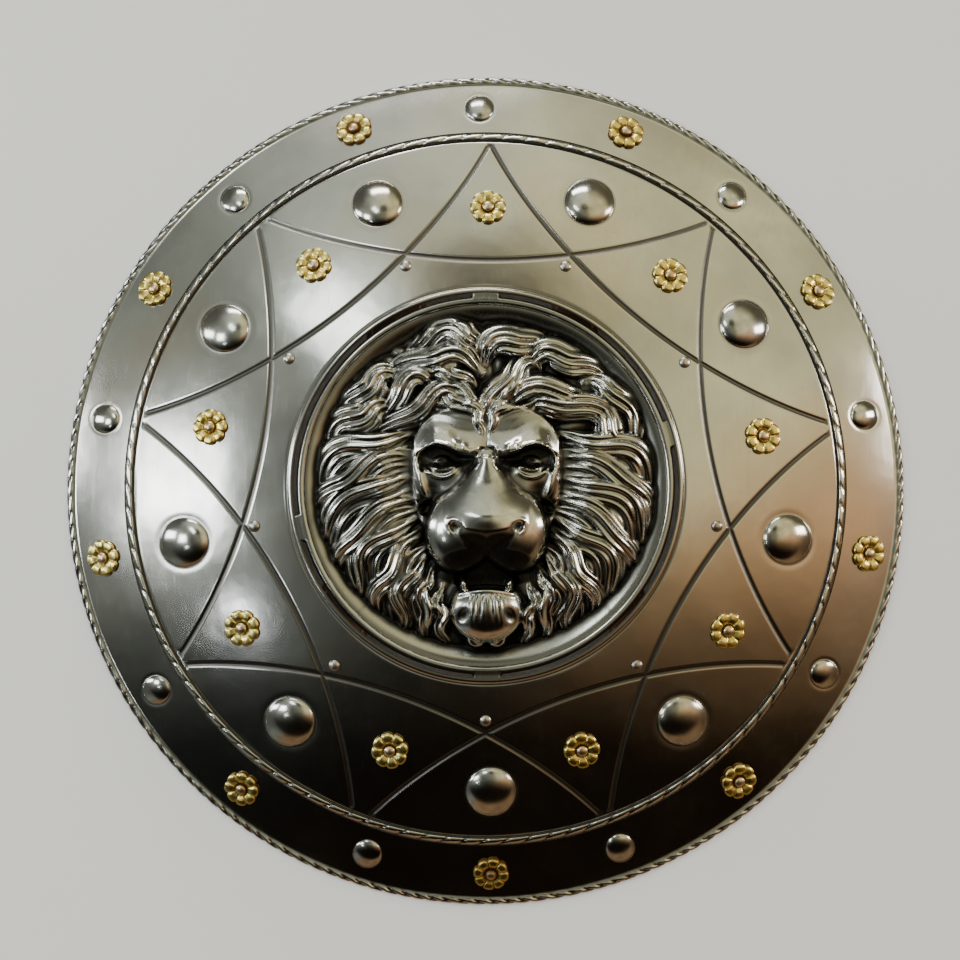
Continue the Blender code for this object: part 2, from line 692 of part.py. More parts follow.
def mane(x, y):
    sweep = np.arctan2(np.hypot(x, 3.0) * np.sign(x + 0.01), y - 30) + 0.004 * y
    crown = np.abs(np.sin(22 * sweep + 0.03 * np.hypot(x, y))) * ease(20, 40, y)
    sides = np.abs(np.sin(20 * np.arctan2(y, x) + 0.05 * np.hypot(x, y))) * ease(40, 20, y)
    mound = mane_mound(x, y)
    return laid_locks(x, y, mound - 1.0 + 2.4 * crown + 1.2 * sides, all_locks(), mound - 4.5)


def face(x, y):
    """Forehead, brows, eyes and cheeks, the same on both sides."""
    z = 8 + 15 * dome(x, y, 0, 8, 66, 74, power=0.6)
    z = z + 1.6 * bump(x, y, 25, 40, 20, 15) - 1.5 * bump(x, y, 0, 46, 3.0, 24)
    low, high, step = (through(x, curve) for curve in (BROW_LOW, BROW_HIGH, BROW_STEP))
    t = np.clip((y - low) / (high - low), 0, 1)
    below = 1 - t
    z = z - 7.5 * ease(9.5, 17.0, y + 0.16 * (x - 31)) * below * ease(7, 12, x) * ease(50, 44, x)
    z = z - 4.0 * bump(x, y, 17, 13, 6, 5, turn=12) * below
    z = z + step * t**0.8 * (1 - 0.9 * ease(high, high + 17, y))
    z = z + 1.3 * np.exp(-(((y - high - 0.6) / 1.3) ** 2)) * ease(4, 9, x) * ease(49, 42, x)
    for cx, cy, size in ((21.5, 28.2, 3.2), (27.5, 25.6, 2.6), (15.5, 26.0, 2.6)):
        z = z + 1.8 * bump(x, y, cx, cy, size, 0.8 * size, turn=25)
    z = z + 4.0 * dome(x, y, 31.5, 14.8, 8.0, 6.0, power=0.6) * below
    for cx, cy, wide, tall, width, height in (
        (31.5, 16.4, 9.6, 6.4, 0.14, 2.0),
        (31.5, 17.0, 12.6, 12.2, 0.10, 1.5),
    ):
        lid = np.hypot((x - cx) / wide, (y - cy) / tall)
        z = z + height * np.exp(-(((lid - 1.0) / width) ** 2)) * ease(16.5, 12, y) * below
    iris = np.hypot(x - 31.8, y - 14.6)
    z = z - (1.2 * ease(3.6, 2.8, iris) + 1.4 * np.exp(-((iris / 1.4) ** 2))) * below
    bone = (x - through(y, CHEEKBONE)) / 3.2
    z = z + 3.0 * np.exp(-bone * bone) * ease(-13, -5, y) * ease(22, 14, y)
    z = z - 4.0 * bump(x, y, 38, -8, 7, 7) - 13 * bump(x, y, 42.0, -17.0, 6.5, 4.0, turn=-12)
    return z


def muzzle(x, y):
    """The nose bridge, which widens downwards, and the two pads of the upper lip."""
    half = through(y, MUZZLE_HALF_WIDTH)
    u = np.clip(x / half, 0, 1.4)
    low = ease(-10, -26, y)
    bridge = through(y, MUZZLE_TOP) - through(y, MUZZLE_FALL) * u ** (2.3 + 0.7 * low)
    bridge = bridge - 18 * np.clip(u - 1, 0, 1)
    pads = 11 + 26.0 * dome(x, y, 20.0, -33.5, 24.5, 29.5, turn=-6, power=0.38)
    return soft_max(bridge, pads, 5.0) - 60 * ease(25, 33, y) - 50 * low * ease(half - 2, half + 6, x)


def nose(x, y):
    """What the nose's pad, wings and nostrils add to the muzzle."""
    top, bottom = -33.8 + 0.0105 * x * x, -46.4 + 0.55 * x
    t = np.clip((y - bottom) / np.maximum(top - bottom, 1.5), 0, 1)
    side = np.clip(1 - (x / 30.0) ** 2, 0, 1) ** 1.1
    z = 8.0 * side * t**0.8 * ease(2, -24, y) + 1.6 * bump(x, y, 0, -25.5, 10, 6)
    ring = np.hypot(*(v / size for v, size in zip(turned(x, y, 22.0, -30.6, 40), (5.6, 4.2))))
    z = z + 1.0 * np.exp(-(((ring - 1.05) / 0.30) ** 2)) * ease(17, 24, x + 0.6 * (y + 30))
    z = z - 5.0 * np.exp(-((ring / 0.72) ** 2))
    return z - 3.5 * bump(x, y, 0, -50, 1.6, 5.5)


def lower_jaw(x, y):
    """The chin with its tuft, the lower lip and the two lower canines."""
    chin = dome(x, y, 0, -88.5, 26.5, 23.5, power=0.6)
    lip = y + 75.0 + 0.006 * x * x
    z = 6 + 19 * chin + 2.2 * np.exp(-((lip / 1.7) ** 2)) * ease(24, 19, x)
    z = z - 30 * ease(2.5, 5.5, lip)
    spread = x / (1.0 + 0.35 * np.clip(-76 - y, 0, 30) ** 0.5)
    tuft = np.abs(np.sin(0.33 * math.pi * spread + 0.6 + 0.02 * x * x)) - 0.4
    z = z + 1.5 * tuft * ease(-77, -80, y) * ease(-97, -87, y + 0.45 * x) * ease(15, 9, x)
    z = z - 4.0 * bump(x, y, 16.5, -93, 3.2, 4.5, turn=20)
    canine = dome(x, y, 16.2, -70.0, 3.0 - 0.22 * (y + 70), 6.0, turn=-6, power=0.5)
    return np.maximum(np.where(chin > 0, z, -50), np.where(canine > 0, 5 + 13 * canine, -50))


def beard_curl(x, y, z, cx, turn):
    d = np.hypot(x - cx, y + 107.5)
    spiral = np.cos(2 * turn * np.arctan2(y + 107.5, x - cx) - 1.2 * d)
    curl = 3 + 7 * np.clip(1 - (d / 7.5) ** 2, 0, 1) ** 0.5 + 1.2 * spiral * ease(7.5, 5, d)
    return np.where(d < 7.5, np.maximum(z, curl), z)


def lion(x, y):
    """Height of the whole relief above the medallion's plane, in millimetres."""
    r = np.hypot(x, y)
    z = medallion(r)
    hair = mane(x, y)
    z = np.where(hair > z, z + (hair - z) * ease(124.5, 119, r), z)
    side = np.sqrt((x - FACE_AXIS) ** 2 + 0.3)
    half, top = through(y, FACE_HALF_WIDTH), through(side, HAIRLINE)
    f = face(side, y) - 34 * ease(half - 2, half + 5, side) - 34 * ease(top - 1.5, top + 4, y)
    f = f - 40 * ease(-30, -40, y)
    f = laid_locks(x, y, f, FRINGE, np.maximum(f, mane_mound(x, y) + 6.0) - 2.0)
    f = soft_max(f, muzzle(side, y), 1.6) + nose(side, y)
    f = f - 2.2 * ease(18.5, 20, y) * ease(26.5, 24.5, y) * ease(6.8, 5.0, np.abs(x - 1.4))
    lip = -62.0 + 0.021 * (side - 22) ** 2
    f = f + (np.where(side < 34, 2.0, -60.0) - f) * ease(lip + 1.5, lip - 2.5, y)
    f = np.where(y < -78, np.minimum(f, -60), f)
    mouth = ease(1.12, 0.92, np.hypot(side / 21.5, (y + 66.5) / 11.5))
    z = z + (2.5 + 0.5 * (y + 66.5) - z) * mouth
    z = soft_max(z, np.maximum(f, lower_jaw(side, y)), 1.0 + 3.0 * ease(30, 45, y))
    for cx, turn in ((-7.0, 1), (7.0, -1)):
        z = beard_curl(x - FACE_AXIS, y, z, cx, turn)
    return RELIEF * z


def medallion_back(x, y):
    """The back follows the relief loosely, with a hollow behind the head."""
    r = np.hypot(x, y)
    cove = -COVE_DEPTH * ease(COVE_TOP, COVE_FOOT, r) - WALL / RELIEF
    hollow = HOLLOW_HEIGHT * np.clip(1 - (r / HOLLOW_RADIUS) ** 2, 0, 1)
    return RELIEF * (cove + hollow + HEAD_HOLLOW * bump(x, y, 0, 6, 42, 45))


def disc_grid(rings):
    """A square grid bent to a unit disc: its squares become circles, with the same spacing all over."""
    i, j = np.meshgrid(np.arange(-rings, rings + 1.0), np.arange(-rings, rings + 1.0), indexing="ij")
    wide = np.abs(i) >= np.abs(j)
    reach = np.where(wide, i, j)
    share = np.divide(np.where(wide, j, i), reach, out=np.zeros_like(i), where=reach != 0)
    angle = np.where(wide, share * math.pi / 4, math.pi / 2 - share * math.pi / 4)
    return np.abs(reach) / rings, angle + np.where(reach < 0, math.pi, 0.0)


def weld_tab(angle):
    """1 at the middle of each weld tab, falling to 0 at its sides."""
    off = np.min([np.abs(np.angle(np.exp(1j * (angle - a)))) for a in TAB_ANGLES], axis=0)
    return ease(TAB_HALF_WIDTH * 1.25, TAB_HALF_WIDTH * 0.85, off)


def boss_grid():
    """Plan of the boss's grid: x and y in millimetres, how much of a weld tab each point is, and the edge."""
    share, angle = disc_grid(GRID_RINGS)
    tab = weld_tab(angle)
    radius = np.interp(share, GRID_SHARES, GRID_RADII)
    radius = radius + tab * (TAB_REACH - MEDALLION_RADIUS) * ease(RIM_CREST, MEDALLION_RADIUS, radius)
    return radius * np.cos(angle), radius * np.sin(angle), tab, share > 1 - 0.5 / GRID_RINGS


def thinned(obj, triangles):
    """The object's mesh with about this many triangles, each point put back on the relief or on the back."""
    thin = obj.modifiers.new("Fewer faces", "DECIMATE")
    thin.decimate_type = "COLLAPSE"
    thin.ratio = triangles / len(obj.data.polygons)
    graph = bpy.context.evaluated_depsgraph_get()
    mesh = bpy.data.meshes.new_from_object(obj.evaluated_get(graph))
    obj.modifiers.remove(thin)
    flat = np.empty(len(mesh.vertices) * 3)
    mesh.vertices.foreach_get("co", flat)
    x, y, z = (flat.reshape(-1, 3) / MM).T
    front, back = lion(x, y), medallion_back(x, y)
    moved = np.where(np.abs(z - front) < np.abs(z - back), front, back)
    z = np.where(np.hypot(x, y) < RIM_CREST - 1, moved, z)
    mesh.vertices.foreach_set("co", (np.stack([x, y, z], 1) * MM).ravel())
    mesh.update()
    return mesh


def lion_boss(finish, group):
    x, y, tab, edge = boss_grid()
    front = np.where(edge, -0.6 + 1.2 * tab, lion(x, y)) * MM
    back = medallion_back(x, y) * MM
    x, y = x * MM, y * MM
    across = range(len(x))
    bm = bmesh.new()
    top = [[bm.verts.new((x[i, j], y[i, j], front[i, j])) for j in across] for i in across]
    low = [
        [top[i][j] if edge[i, j] else bm.verts.new((x[i, j], y[i, j], back[i, j])) for j in across]
        for i in across
    ]
    for i in across[:-1]:
        for j in across[:-1]:
            bm.faces.new((top[i][j], top[i + 1][j], top[i + 1][j + 1], top[i][j + 1]))
            bm.faces.new((low[i][j], low[i][j + 1], low[i + 1][j + 1], low[i + 1][j]))
    bmesh.ops.triangulate(bm, faces=bm.faces)
    level = front_dome(LIP_SECTION[0][0]) - MEDALLION_DROP * MM
    obj = add_object("lion_boss", finished_mesh("lion_boss", bm, 50.0), finish, group)
    obj.data = thinned(obj, BOSS_TRIANGLES)
    obj.data.shade_smooth()
    obj.data.set_sharp_from_angle(angle=math.radians(50))
    obj.matrix_world = Matrix.Translation((0, 0, level))
    return obj


def main():
    clear_scene()
    parts, cutters = collection("lion_shield"), collection("cutters")
    plate_steel = material("polished_plate_steel", (0.56, 0.55, 0.52), 0.22, 1.0)
    boss_steel = material("chased_boss_steel", (0.50, 0.49, 0.46), 0.20, 1.0)
    brass = material("rosette_brass", (0.78, 0.56, 0.20), 0.28, 1.0)
    rivet_steel = material("rivet_steel", (0.55, 0.51, 0.49), 0.30, 1.0)
    leather = material("strap_leather", (0.12, 0.06, 0.03), 0.65, 0.0)
    shield_plate(plate_steel, parts)
    lion_boss(boss_steel, parts)
    rosettes_and_rivets(brass, rivet_steel, parts)
    strap("arm_strap", ARM_STRAP[:2], ARM_STRAP[2], leather, parts, cutters)
    strap("hand_grip", HAND_GRIP[:2], HAND_GRIP[2], leather, parts, cutters)


main()
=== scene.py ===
"""Looks of a round steel shield: a domed plate with a lion-mask medallion, brass rosettes, rivets and straps.

The shield lies face up, Z is its axis and the lion's head points to +Y. Lengths are in metres, apart
from the medallion's relief, whose functions work in millimetres on the medallion's own plane.
"""

import math

import bmesh
import bpy
import numpy as np
from mathutils import Matrix, Vector
from mathutils.geometry import delaunay_2d_cdt

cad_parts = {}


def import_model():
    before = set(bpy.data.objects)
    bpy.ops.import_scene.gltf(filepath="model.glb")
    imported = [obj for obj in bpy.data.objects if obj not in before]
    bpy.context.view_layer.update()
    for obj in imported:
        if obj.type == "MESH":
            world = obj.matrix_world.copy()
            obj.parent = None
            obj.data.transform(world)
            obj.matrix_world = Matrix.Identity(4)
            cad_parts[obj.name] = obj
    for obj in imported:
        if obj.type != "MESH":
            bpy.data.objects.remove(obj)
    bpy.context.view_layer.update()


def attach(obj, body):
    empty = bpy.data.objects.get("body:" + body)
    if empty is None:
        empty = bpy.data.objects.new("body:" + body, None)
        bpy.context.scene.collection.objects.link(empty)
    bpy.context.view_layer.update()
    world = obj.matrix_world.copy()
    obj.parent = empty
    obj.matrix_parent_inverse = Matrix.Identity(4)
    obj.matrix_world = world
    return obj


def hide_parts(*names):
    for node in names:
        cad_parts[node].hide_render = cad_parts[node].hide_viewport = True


MM = 0.001

# Domed plate
SHIELD_RADIUS = 0.305
DOME_DEPTH = 0.080
SHEET = 0.0015
SQUASH = 0.011
SQUASH_FROM = 0.150
SQUASH_TO = 0.250
DOME_RADIUS = (SHIELD_RADIUS**2 + DOME_DEPTH**2) / (2 * DOME_DEPTH)
ROLL_RADIUS = 0.003
ROLL_CENTRE = SHIELD_RADIUS - ROLL_RADIUS
OPENING = 0.1370
FIELD_FROM = 0.1430
FIELD_TO = 0.2525
BAND_FROM = 0.2612
BAND_TO = 0.2990
SUPPORT = 0.0012
PLAN_STEP = 0.0053
INNER_SIDES = 432
MIDDLE_SIDES = 576
RIM_SIDES = 688
HOLE_SIDES = 12
HOLE_SHARE = 0.94

# Lip of the opening, the line beside it with its dirt and painted shade, and where the painted shade in the
# gap round the medallion ends and starts
LIP_CREST = 0.1388
LIP_HALF_WIDTH = 0.0019
LIP_HEIGHT = 0.0011
LIP_LINE = 0.1416
LIP_LINE_WIDTH = 0.0006
LIP_LINE_DEPTH = 0.0004
LIP_DIRT_AND_SHADE = 0.1415
LIP_SHADE = (0.1390, 0.1377)
LIP_RINGS = (0.1369, 0.1372, 0.1378, 0.1387, 0.1396, 0.1403, 0.1407, 0.1413, 0.1418, 0.1424)

# Roped bead ring. Its grooves, and the dirt and painted shade in them, are given by place, width and amount,
# its back by place and how far it lies off the dome
RING_AT = 0.2577
BEAD_HALF_WIDTH = 0.0026
BEAD_HEIGHT = 0.0021
BEAD_GROOVES = ((0.2545, 0.0007, 0.0011), (0.2607, 0.0005, 0.0006))
BEAD_DIRT_AND_SHADE = ((0.2545, 0.0009, 1.0), (0.2608, 0.0005, 0.8))
BEAD_BACK = ((0.2550, -0.0005), (0.2576, 0.0013), (0.2602, 0.0))
ROPE_TURNS = 108

# Filed edge: its cuts, and the stations round the roll in degrees
EDGE_CUTS = 172
EDGE_ANGLES = (118, 100, 86, 73, 61, 49, 37, 25, 12, -2, -16, -32, -52, -78, -112, -150)
CUT_SIDES = 8

# Nine-fold layout
POINTS = 9
SECTOR = math.tau / POINTS
FIRST_POINT = math.pi / 2
FIRST_MIDDLE = FIRST_POINT + SECTOR / 2
STAR_ARC_CENTRE = 0.550
STAR_ARC_RADIUS = STAR_ARC_CENTRE - 0.1614
STAR_ARC_SPAN = math.radians(47.5)
STAR_ARC_STATIONS = 90
GROOVE_HALF_WIDTH = 0.0016
GROOVE_DEPTH = 0.0008
GROOVE_LINES = (-2.0, -1.45, -1.05, -0.75, -0.45, -0.15, 0.15, 0.45, 0.75, 1.05, 1.45, 2.0)
RIM_ROSETTE_AT = 0.2815
STAR_ROSETTE_AT = 0.2015
PLATE_RIVET_AT = 0.1672

# Bosses: how far out, radius and height
BIG_BOSS = (0.220, 0.0180, 0.0070)
SMALL_BOSS = (0.2805, 0.0105, 0.0038)
BOSS_RINGS = (0.12, 0.28, 0.45, 0.60, 0.73, 0.84, 0.92, 0.97, 1.04, 1.10, 1.18, 1.32)
FOOT_BEND = 0.00025

# How far each place was set off the even layout by hand, in degrees against the clock
STAR_ARC_DRIFT = (-0.4, 0.0, 0.0, 0.0, 0.0, 0.0, -1.5, 0.0, -1.5)
BIG_BOSS_DRIFT = (0.7, 0.1, 2.4, 0.0, -0.2, 1.0, 0.5, 0.6, -1.5)
SMALL_BOSS_DRIFT = (0.9, 0.2, 1.0, 1.0, 0.3, 2.3, 1.8, -0.4, 0.6)
RIM_ROSETTE_DRIFT = (-0.1, -1.3, 0.9, 0.2, 0.5, 0.8, 1.3, 0.5, -1.4)
STAR_ROSETTE_DRIFT = (-0.5, -1.0, 0.3, -1.0, -0.1, 0.2, 0.4, -2.2, -2.3)
PLATE_RIVET_DRIFT = (0.0, 0.0, 1.8, 0.0, 0.0, 0.0, 0.0, 0.0, -2.9)

# Rosettes and rivets
PETALS = 8
ROSETTE_RADIUS = 0.0131
ROSETTE_SEAT = 0.0021
ROSETTE_DISH = 0.0013
HOLE_RADIUS = 0.0026
SHANK_RADIUS = 0.0018
HEAD_RADIUS = 0.0041
HEAD_HEIGHT = 0.0026
TAIL_RADIUS = 0.0030
TAIL_HEIGHT = 0.0010
RIVET_SIDES = 20
RIVET_TURN = 3.0
HEAD_RIM = 0.0003
GAP = 0.0003
BACK_CLEARANCE = 0.0009

# Heights above the plate: full painted shadow at the part's foot below the first, none above the second
ROSETTE_SHADOW = (0.0006, 0.0021)
ROSETTE_RIVET_SHADOW = (0.0024, 0.0034)
RIVET_SHADOW = (0.0003, 0.0014)

# Finishes of the small metals: name, rubbed, dull and dark colour (of the scratches and of the painted shadow
# at the foot), roughness
SMALL_METALS = (
    ("cast_rosette_brass", (1.0, 0.86, 0.33), (0.96, 0.74, 0.22), (0.31, 0.17, 0.05), 0.22),
    ("warm_rivet_steel", (0.93, 0.72, 0.50), (0.80, 0.58, 0.34), (0.22, 0.13, 0.06), 0.26),
    ("domed_rivet_steel", (0.66, 0.61, 0.58), (0.50, 0.45, 0.42), (0.10, 0.075, 0.06), 0.26),
)

# Leather straps. The outer face is a row of (side, depth) in shares of half the width and of the thickness,
# and each strap is given by its two rivets and its width
STRAP_THICKNESS = 0.0035
STRAP_CORNER = 0.007
STRAP_FACE_HALF = ((0.4, 0), (0.8, 0), (0.93, 0.07), (1, 0.30))
STRAP_FACE = (*((-side, depth) for side, depth in STRAP_FACE_HALF[::-1]), (0, 0), *STRAP_FACE_HALF)
CUTTER = 0.02
STRAP_DROP = 0.058
STRAP_OVERHANG = 0.013
ARM_STRAP = (1, 7, 0.038)
HAND_GRIP = (2, 5, 0.030)
STITCH_STEP = 0.0055
STITCH_LENGTH = 0.0038
STITCH_INSET = 0.0035
THREAD = 0.0009

# Camera and lights: name, place, what it faces, its width and height, power and colour
CAMERA_DISTANCE = 2.4
CAMERA_ELEVATION = 87.5
CAMERA_TARGET = (-0.0040, 0.0066)
CAMERA_LENS = 123.2
CAMERA_SENSOR = 36.0
CAMERA_REACH = 40.0
LIGHTS = (
    ("window_upper_left", (-0.84, 1.07, 1.80), (-0.08, 0.12, 0.09), (0.36, 0.70), 4.3, (0.93, 1.0, 0.95)),
    ("window_left", (-1.82, 0.12, 1.52), (-0.20, 0.0, 0.07), (0.62, 0.62), 10.5, (0.95, 1.0, 0.98)),
    ("lamp_low_left", (-1.47, -0.68, 1.66), (-0.18, -0.08, 0.08), (0.16, 0.18), 0.8, (0.95, 1.0, 1.0)),
    ("lamp_left", (-2.3, 0.4, 0.42), (-0.1, 0.0, 0.05), (0.5, 1.0), 14.0, (0.95, 1.0, 0.98)),
    ("lamp_right", (2.2, 0.5, 0.42), (0.1, 0.0, 0.05), (0.5, 0.9), 17.0, (1.0, 0.95, 0.84)),
    ("lamp_top", (-0.3, 2.3, 0.42), (0.0, 0.1, 0.05), (1.2, 0.4), 18.0, (1.0, 0.98, 0.92)),
)
FLOOR_LIGHT = 95.0
FLOOR_REACH = 12

# Medallion, in millimetres
MEDALLION_RADIUS = 134.4
RIM_CREST = 131.4
RIM_HALF_WIDTH = 3.0
RIM_HEIGHT = 2.6
# Where the painted shade in the gap outside the rim starts and where it is full
RIM_SHADE = (132.2, 133.6)
COVE_TOP = 128.0
COVE_FOOT = 107.0
COVE_DEPTH = 9.0
RELIEF = 0.92
MEDALLION_DROP = 0.7
WALL = 2.0
HOLLOW_RADIUS = 100.0
HOLLOW_HEIGHT = 15.0
HEAD_HOLLOW = 10.0
EDGE_LEVEL = -0.6
TAB_HEIGHT = 1.5
TAB_REACH = 137.2
TAB_HALF_WIDTH = math.radians(4.0)
TAB_ANGLES = tuple(math.radians(a) for a in (15.6, 90.0, 193.0, 270.5))
FRONT_RINGS = 151
BACK_RINGS = 40
GRID_SHARES = (0, 0.89, 0.93, 0.955, 0.978, 1)
GRID_RADII = (0, 119, 127.6, 129.4, RIM_CREST, MEDALLION_RADIUS)
FINE_SHARE = 0.935

# Lion's mask, in millimetres
FACE_AXIS = 0.6
LOCK_STATIONS = 44
LOCK_WAVE = 4.4
MANE_RADII = (120.0, 117.5)
STRAND_DEPTH = 3.4
CURL_LOW = -107.5
CURL_RADIUS = 7.5
EYEBALL = (31.5, 14.8, 8.0, 6.0)
EYELIDS = ((31.5, 16.4, 9.6, 6.4, 0.14, 2.0), (31.5, 17.0, 12.6, 12.2, 0.10, 1.5))

# Painted shade in the relief's hollows: how far round a point to look, how much lower it then lies, and
# amount.
# Then single places of painted shade: amount, middle, half sizes, turn and fall
HOLLOWS = ((2, 1.3, 0.5), (6, 5.5, 0.8), (14, 12.0, 0.5))
PAINTED_SHADE_PLACES = (
    (1.3, 27, 19.5, 19, 5.0, 10, 0.7),
    (1.1, 15, 15, 7, 4.0, 30, 0.5),
    (1.2, 42, -16, 7, 7, 0, 1.0),
    (1.7, 7, -40, 16, 8.0, 18, 0.8),
    (1.5, 12, -54, 33, 13, 0, 1.0),
    (0.9, 9, -85, 17, 8, 0, 1.0),
    (0.8, 6, -95, 19, 9, 0, 1.0),
    (1.6, 8, -59, 31, 13.5, 0, 0.7),
)

# Locks of the mane: root, leaving angle, tip, arriving angle, width, height, strands
LEFT_CROWN = (
    (-3, 96, 118, -58, 95, 205, 32, 17, 5),
    (-4, 80, 130, -74, 79, 200, 28, 17, 4),
    (-8, 70, 125, -46, 68, 250, 19, 17, 3),
    (-3, 40, 104, -34, 60, 285, 24, 18, 4),
    (-34, 70, 120, -73, 44, 262, 22, 17, 3),
    (-12, 54, 125, -84, 30, 215, 23, 18, 4),
    (-62, 78, 165, -109, 40, 235, 33, 14, 5),
    (-66, 56, 175, -115, 20, 240, 31, 15, 4),
    (-1, 36, 96, -50, 66, 215, 15, 17, 3),
    (-1, 31, 102, -66, 50, 238, 15, 15, 3),
)
RIGHT_CROWN = (
    (-2, 86, 82, 46, 95, 300, 28, 17, 4),
    (3, 40, 100, 40, 80, 300, 26, 18, 4),
    (7, 52, 92, 42, 64, 320, 19, 17, 3),
    (14, 52, 60, 74, 46, 262, 24, 18, 4),
    (32, 84, 60, 90, 70, 300, 28, 16, 4),
    (72, 74, 10, 106, 20, 262, 32, 15, 5),
    (66, 52, -5, 100, 14, 275, 26, 15, 4),
    (22, 52, 30, 104, 22, 300, 24, 18, 4),
    (1, 36, 84, 50, 66, 325, 15, 17, 3),
    (1, 31, 78, 66, 50, 302, 15, 15, 3),
)
SIDE_LOCKS = (
    (52, 36, -8, 120, -16, -100, 24, 16, 3),
    (54, 20, -2, 119, -38, -98, 24, 17, 3),
    (54, 5, -4, 114, -62, -112, 24, 17, 3),
    (52, -10, -14, 103, -80, -110, 23, 17, 3),
    (50, -24, -22, 90, -95, -105, 22, 17, 3),
    (47, -37, -32, 75, -103, -100, 20, 16, 3),
    (43, -51, -45, 58, -110, -95, 18, 16, 3),
    (38, -64, -58, 42, -114, -92, 16, 15, 2),
    (31, -78, -70, 26, -116, -100, 14, 14, 2),
)

# Locks that lie on the forehead, in the same order
FRINGE = (
    (-1, 33, 96, -9, 64, 112, 9, 4.5, 3),
    (-3, 36, 100, -24, 64, 158, 10, 5.0, 3),
    (-6, 47, 120, -43, 62, 200, 12, 5.5, 3),
    (2, 34, 80, 11, 66, 66, 9, 4.5, 3),
    (3, 38, 74, 27, 66, 30, 10, 5.0, 3),
    (8, 52, 66, 44, 60, 338, 12, 5.5, 3),
)

# Outline of the face and the muzzle, as stations and values
FACE_HALF_WIDTH = ((-72, -64, -50, -34, -18, 0, 30, 40, 50), (34, 37.5, 41.5, 45, 50, 53, 53, 51, 45))
HAIRLINE = ((0, 6, 14, 24, 36, 46, 53), (60, 60, 58, 55.5, 51, 43, 30))
BROW_LOW = ((0, 5, 12, 20, 28, 36, 42, 47, 53), (19.5, 18.6, 18.2, 20.2, 24.2, 25.6, 23.8, 20, 18))
BROW_HIGH = ((0, 5, 12, 20, 28, 36, 42, 47, 53), (26.5, 24.5, 22.4, 23.4, 27.2, 28.6, 26.6, 23.5, 21))
BROW_STEP = ((0, 5, 12, 20, 36, 42, 47, 53), (4.0, 5.0, 7.5, 8.5, 8.5, 6.5, 3.0, 0.5))
CHEEKBONE = ((-12, -6, 6, 16, 24), (40, 43.5, 47.3, 48.3, 48))
MUZZLE_TOP = (
    (-62, -54, -46, -40, -34, -26, -18, -8, 4, 16, 26, 34),
    (13, 23, 31, 35.2, 36.9, 37.35, 36.9, 35.8, 33.7, 31, 26.5, 18),
)
MUZZLE_HALF_WIDTH = (
    (-62, -54, -46, -30, -22, -16, -10, -3, 4, 9, 15, 22, 32),
    (31, 37, 41.5, 43, 40.5, 37, 32.5, 26.5, 20, 15, 9, 8, 8),
)
MUZZLE_FALL = ((-60, -46, -30, -10, 4, 15, 30), (12, 14, 15, 16, 15, 9, 3))


def ease(low, high, value):
    t = np.clip((value - low) / (high - low), 0, 1)
    return t * t * (3 - 2 * t)


def at(radius, angle):
    return radius * np.cos(angle), radius * np.sin(angle)


def circle(radius, sides):
    return at(radius, np.arange(sides) * math.tau / sides)


def peak(value, middle, width):
    """1 at the middle value, falling smoothly to 0 on either side."""
    return np.exp(-(((value - middle) / width) ** 2))


def arch(q, power=0.5):
    """1 at 0, falling in an arch to 0 at -1 and at 1."""
    return np.clip(1 - q * q, 0, 1) ** power


def row_of(first, radius, drift):
    """The nine places at a radius, going clockwise from the first angle, each with its drift."""
    return [at(radius, first - i * SECTOR + math.radians(off)) for i, off in enumerate(drift)]


STAR_ARCS = row_of(FIRST_POINT, STAR_ARC_CENTRE, STAR_ARC_DRIFT)
BIG_BOSSES = row_of(FIRST_MIDDLE, BIG_BOSS[0], BIG_BOSS_DRIFT)
SMALL_BOSSES = row_of(FIRST_POINT, SMALL_BOSS[0], SMALL_BOSS_DRIFT)
RIM_ROSETTES = row_of(FIRST_MIDDLE, RIM_ROSETTE_AT, RIM_ROSETTE_DRIFT)
STAR_ROSETTES = row_of(FIRST_POINT, STAR_ROSETTE_AT, STAR_ROSETTE_DRIFT)
PLATE_RIVETS = row_of(FIRST_MIDDLE, PLATE_RIVET_AT, PLATE_RIVET_DRIFT)
BOSSES = ((BIG_BOSSES, BIG_BOSS, 36), (SMALL_BOSSES, SMALL_BOSS, 26))


# The plate's form


def squash(x, y):
    """The outer part of the plate is a little narrower along Y than along X."""
    return x, y * (1 - SQUASH * ease(SQUASH_FROM, SQUASH_TO, np.hypot(x, y)))


def front_dome(r):
    """Height of the plate's front face at a radius, with nothing worked in it."""
    edge = math.sqrt(DOME_RADIUS**2 - ROLL_CENTRE**2)
    lean = ROLL_CENTRE / DOME_RADIUS
    lift = ROLL_RADIUS + 0.5 * SHEET / math.sqrt(1 - lean**2)
    return np.sqrt(DOME_RADIUS**2 - r * r) - edge + lift


def back_dome(r):
    return front_dome(0.0) - DOME_RADIUS + np.sqrt((DOME_RADIUS - SHEET) ** 2 - r * r)


def dome_normal(x, y):
    return Vector((x, y, math.sqrt(DOME_RADIUS**2 - x * x - y * y))).normalized()


def star_gap(x, y):
    """How far a point of the field is from the star's nearest pressed line, in half widths of the line."""
    nearest = np.full(np.shape(x), 1.0)
    for cx, cy in STAR_ARCS:
        nearest = np.minimum(nearest, np.abs(np.hypot(x - cx, y - cy) - STAR_ARC_RADIUS))
    return nearest / GROOVE_HALF_WIDTH + 9 * ease(FIELD_TO - 0.4 * SUPPORT, FIELD_TO, np.hypot(x, y))


def boss_share(x, y, places, radius):
    """Distance to the nearest of the places, as a share of the boss's radius."""
    gaps = [np.hypot(x - cx, y - cy) for cx, cy in places]
    return np.min(gaps, axis=0) / radius


def raised_boss(q, height):
    """A round boss pushed out of the sheet, with a tight bend at its foot."""
    return height * arch(q, 0.72) - FOOT_BEND * peak(q, 1.06, 0.07)


def lip_height(r):
    """The half-round lip of the opening and the line beside it."""
    lip = LIP_HEIGHT * arch((r - LIP_CREST) / LIP_HALF_WIDTH)
    return lip - LIP_LINE_DEPTH * peak(r, LIP_LINE, LIP_LINE_WIDTH)


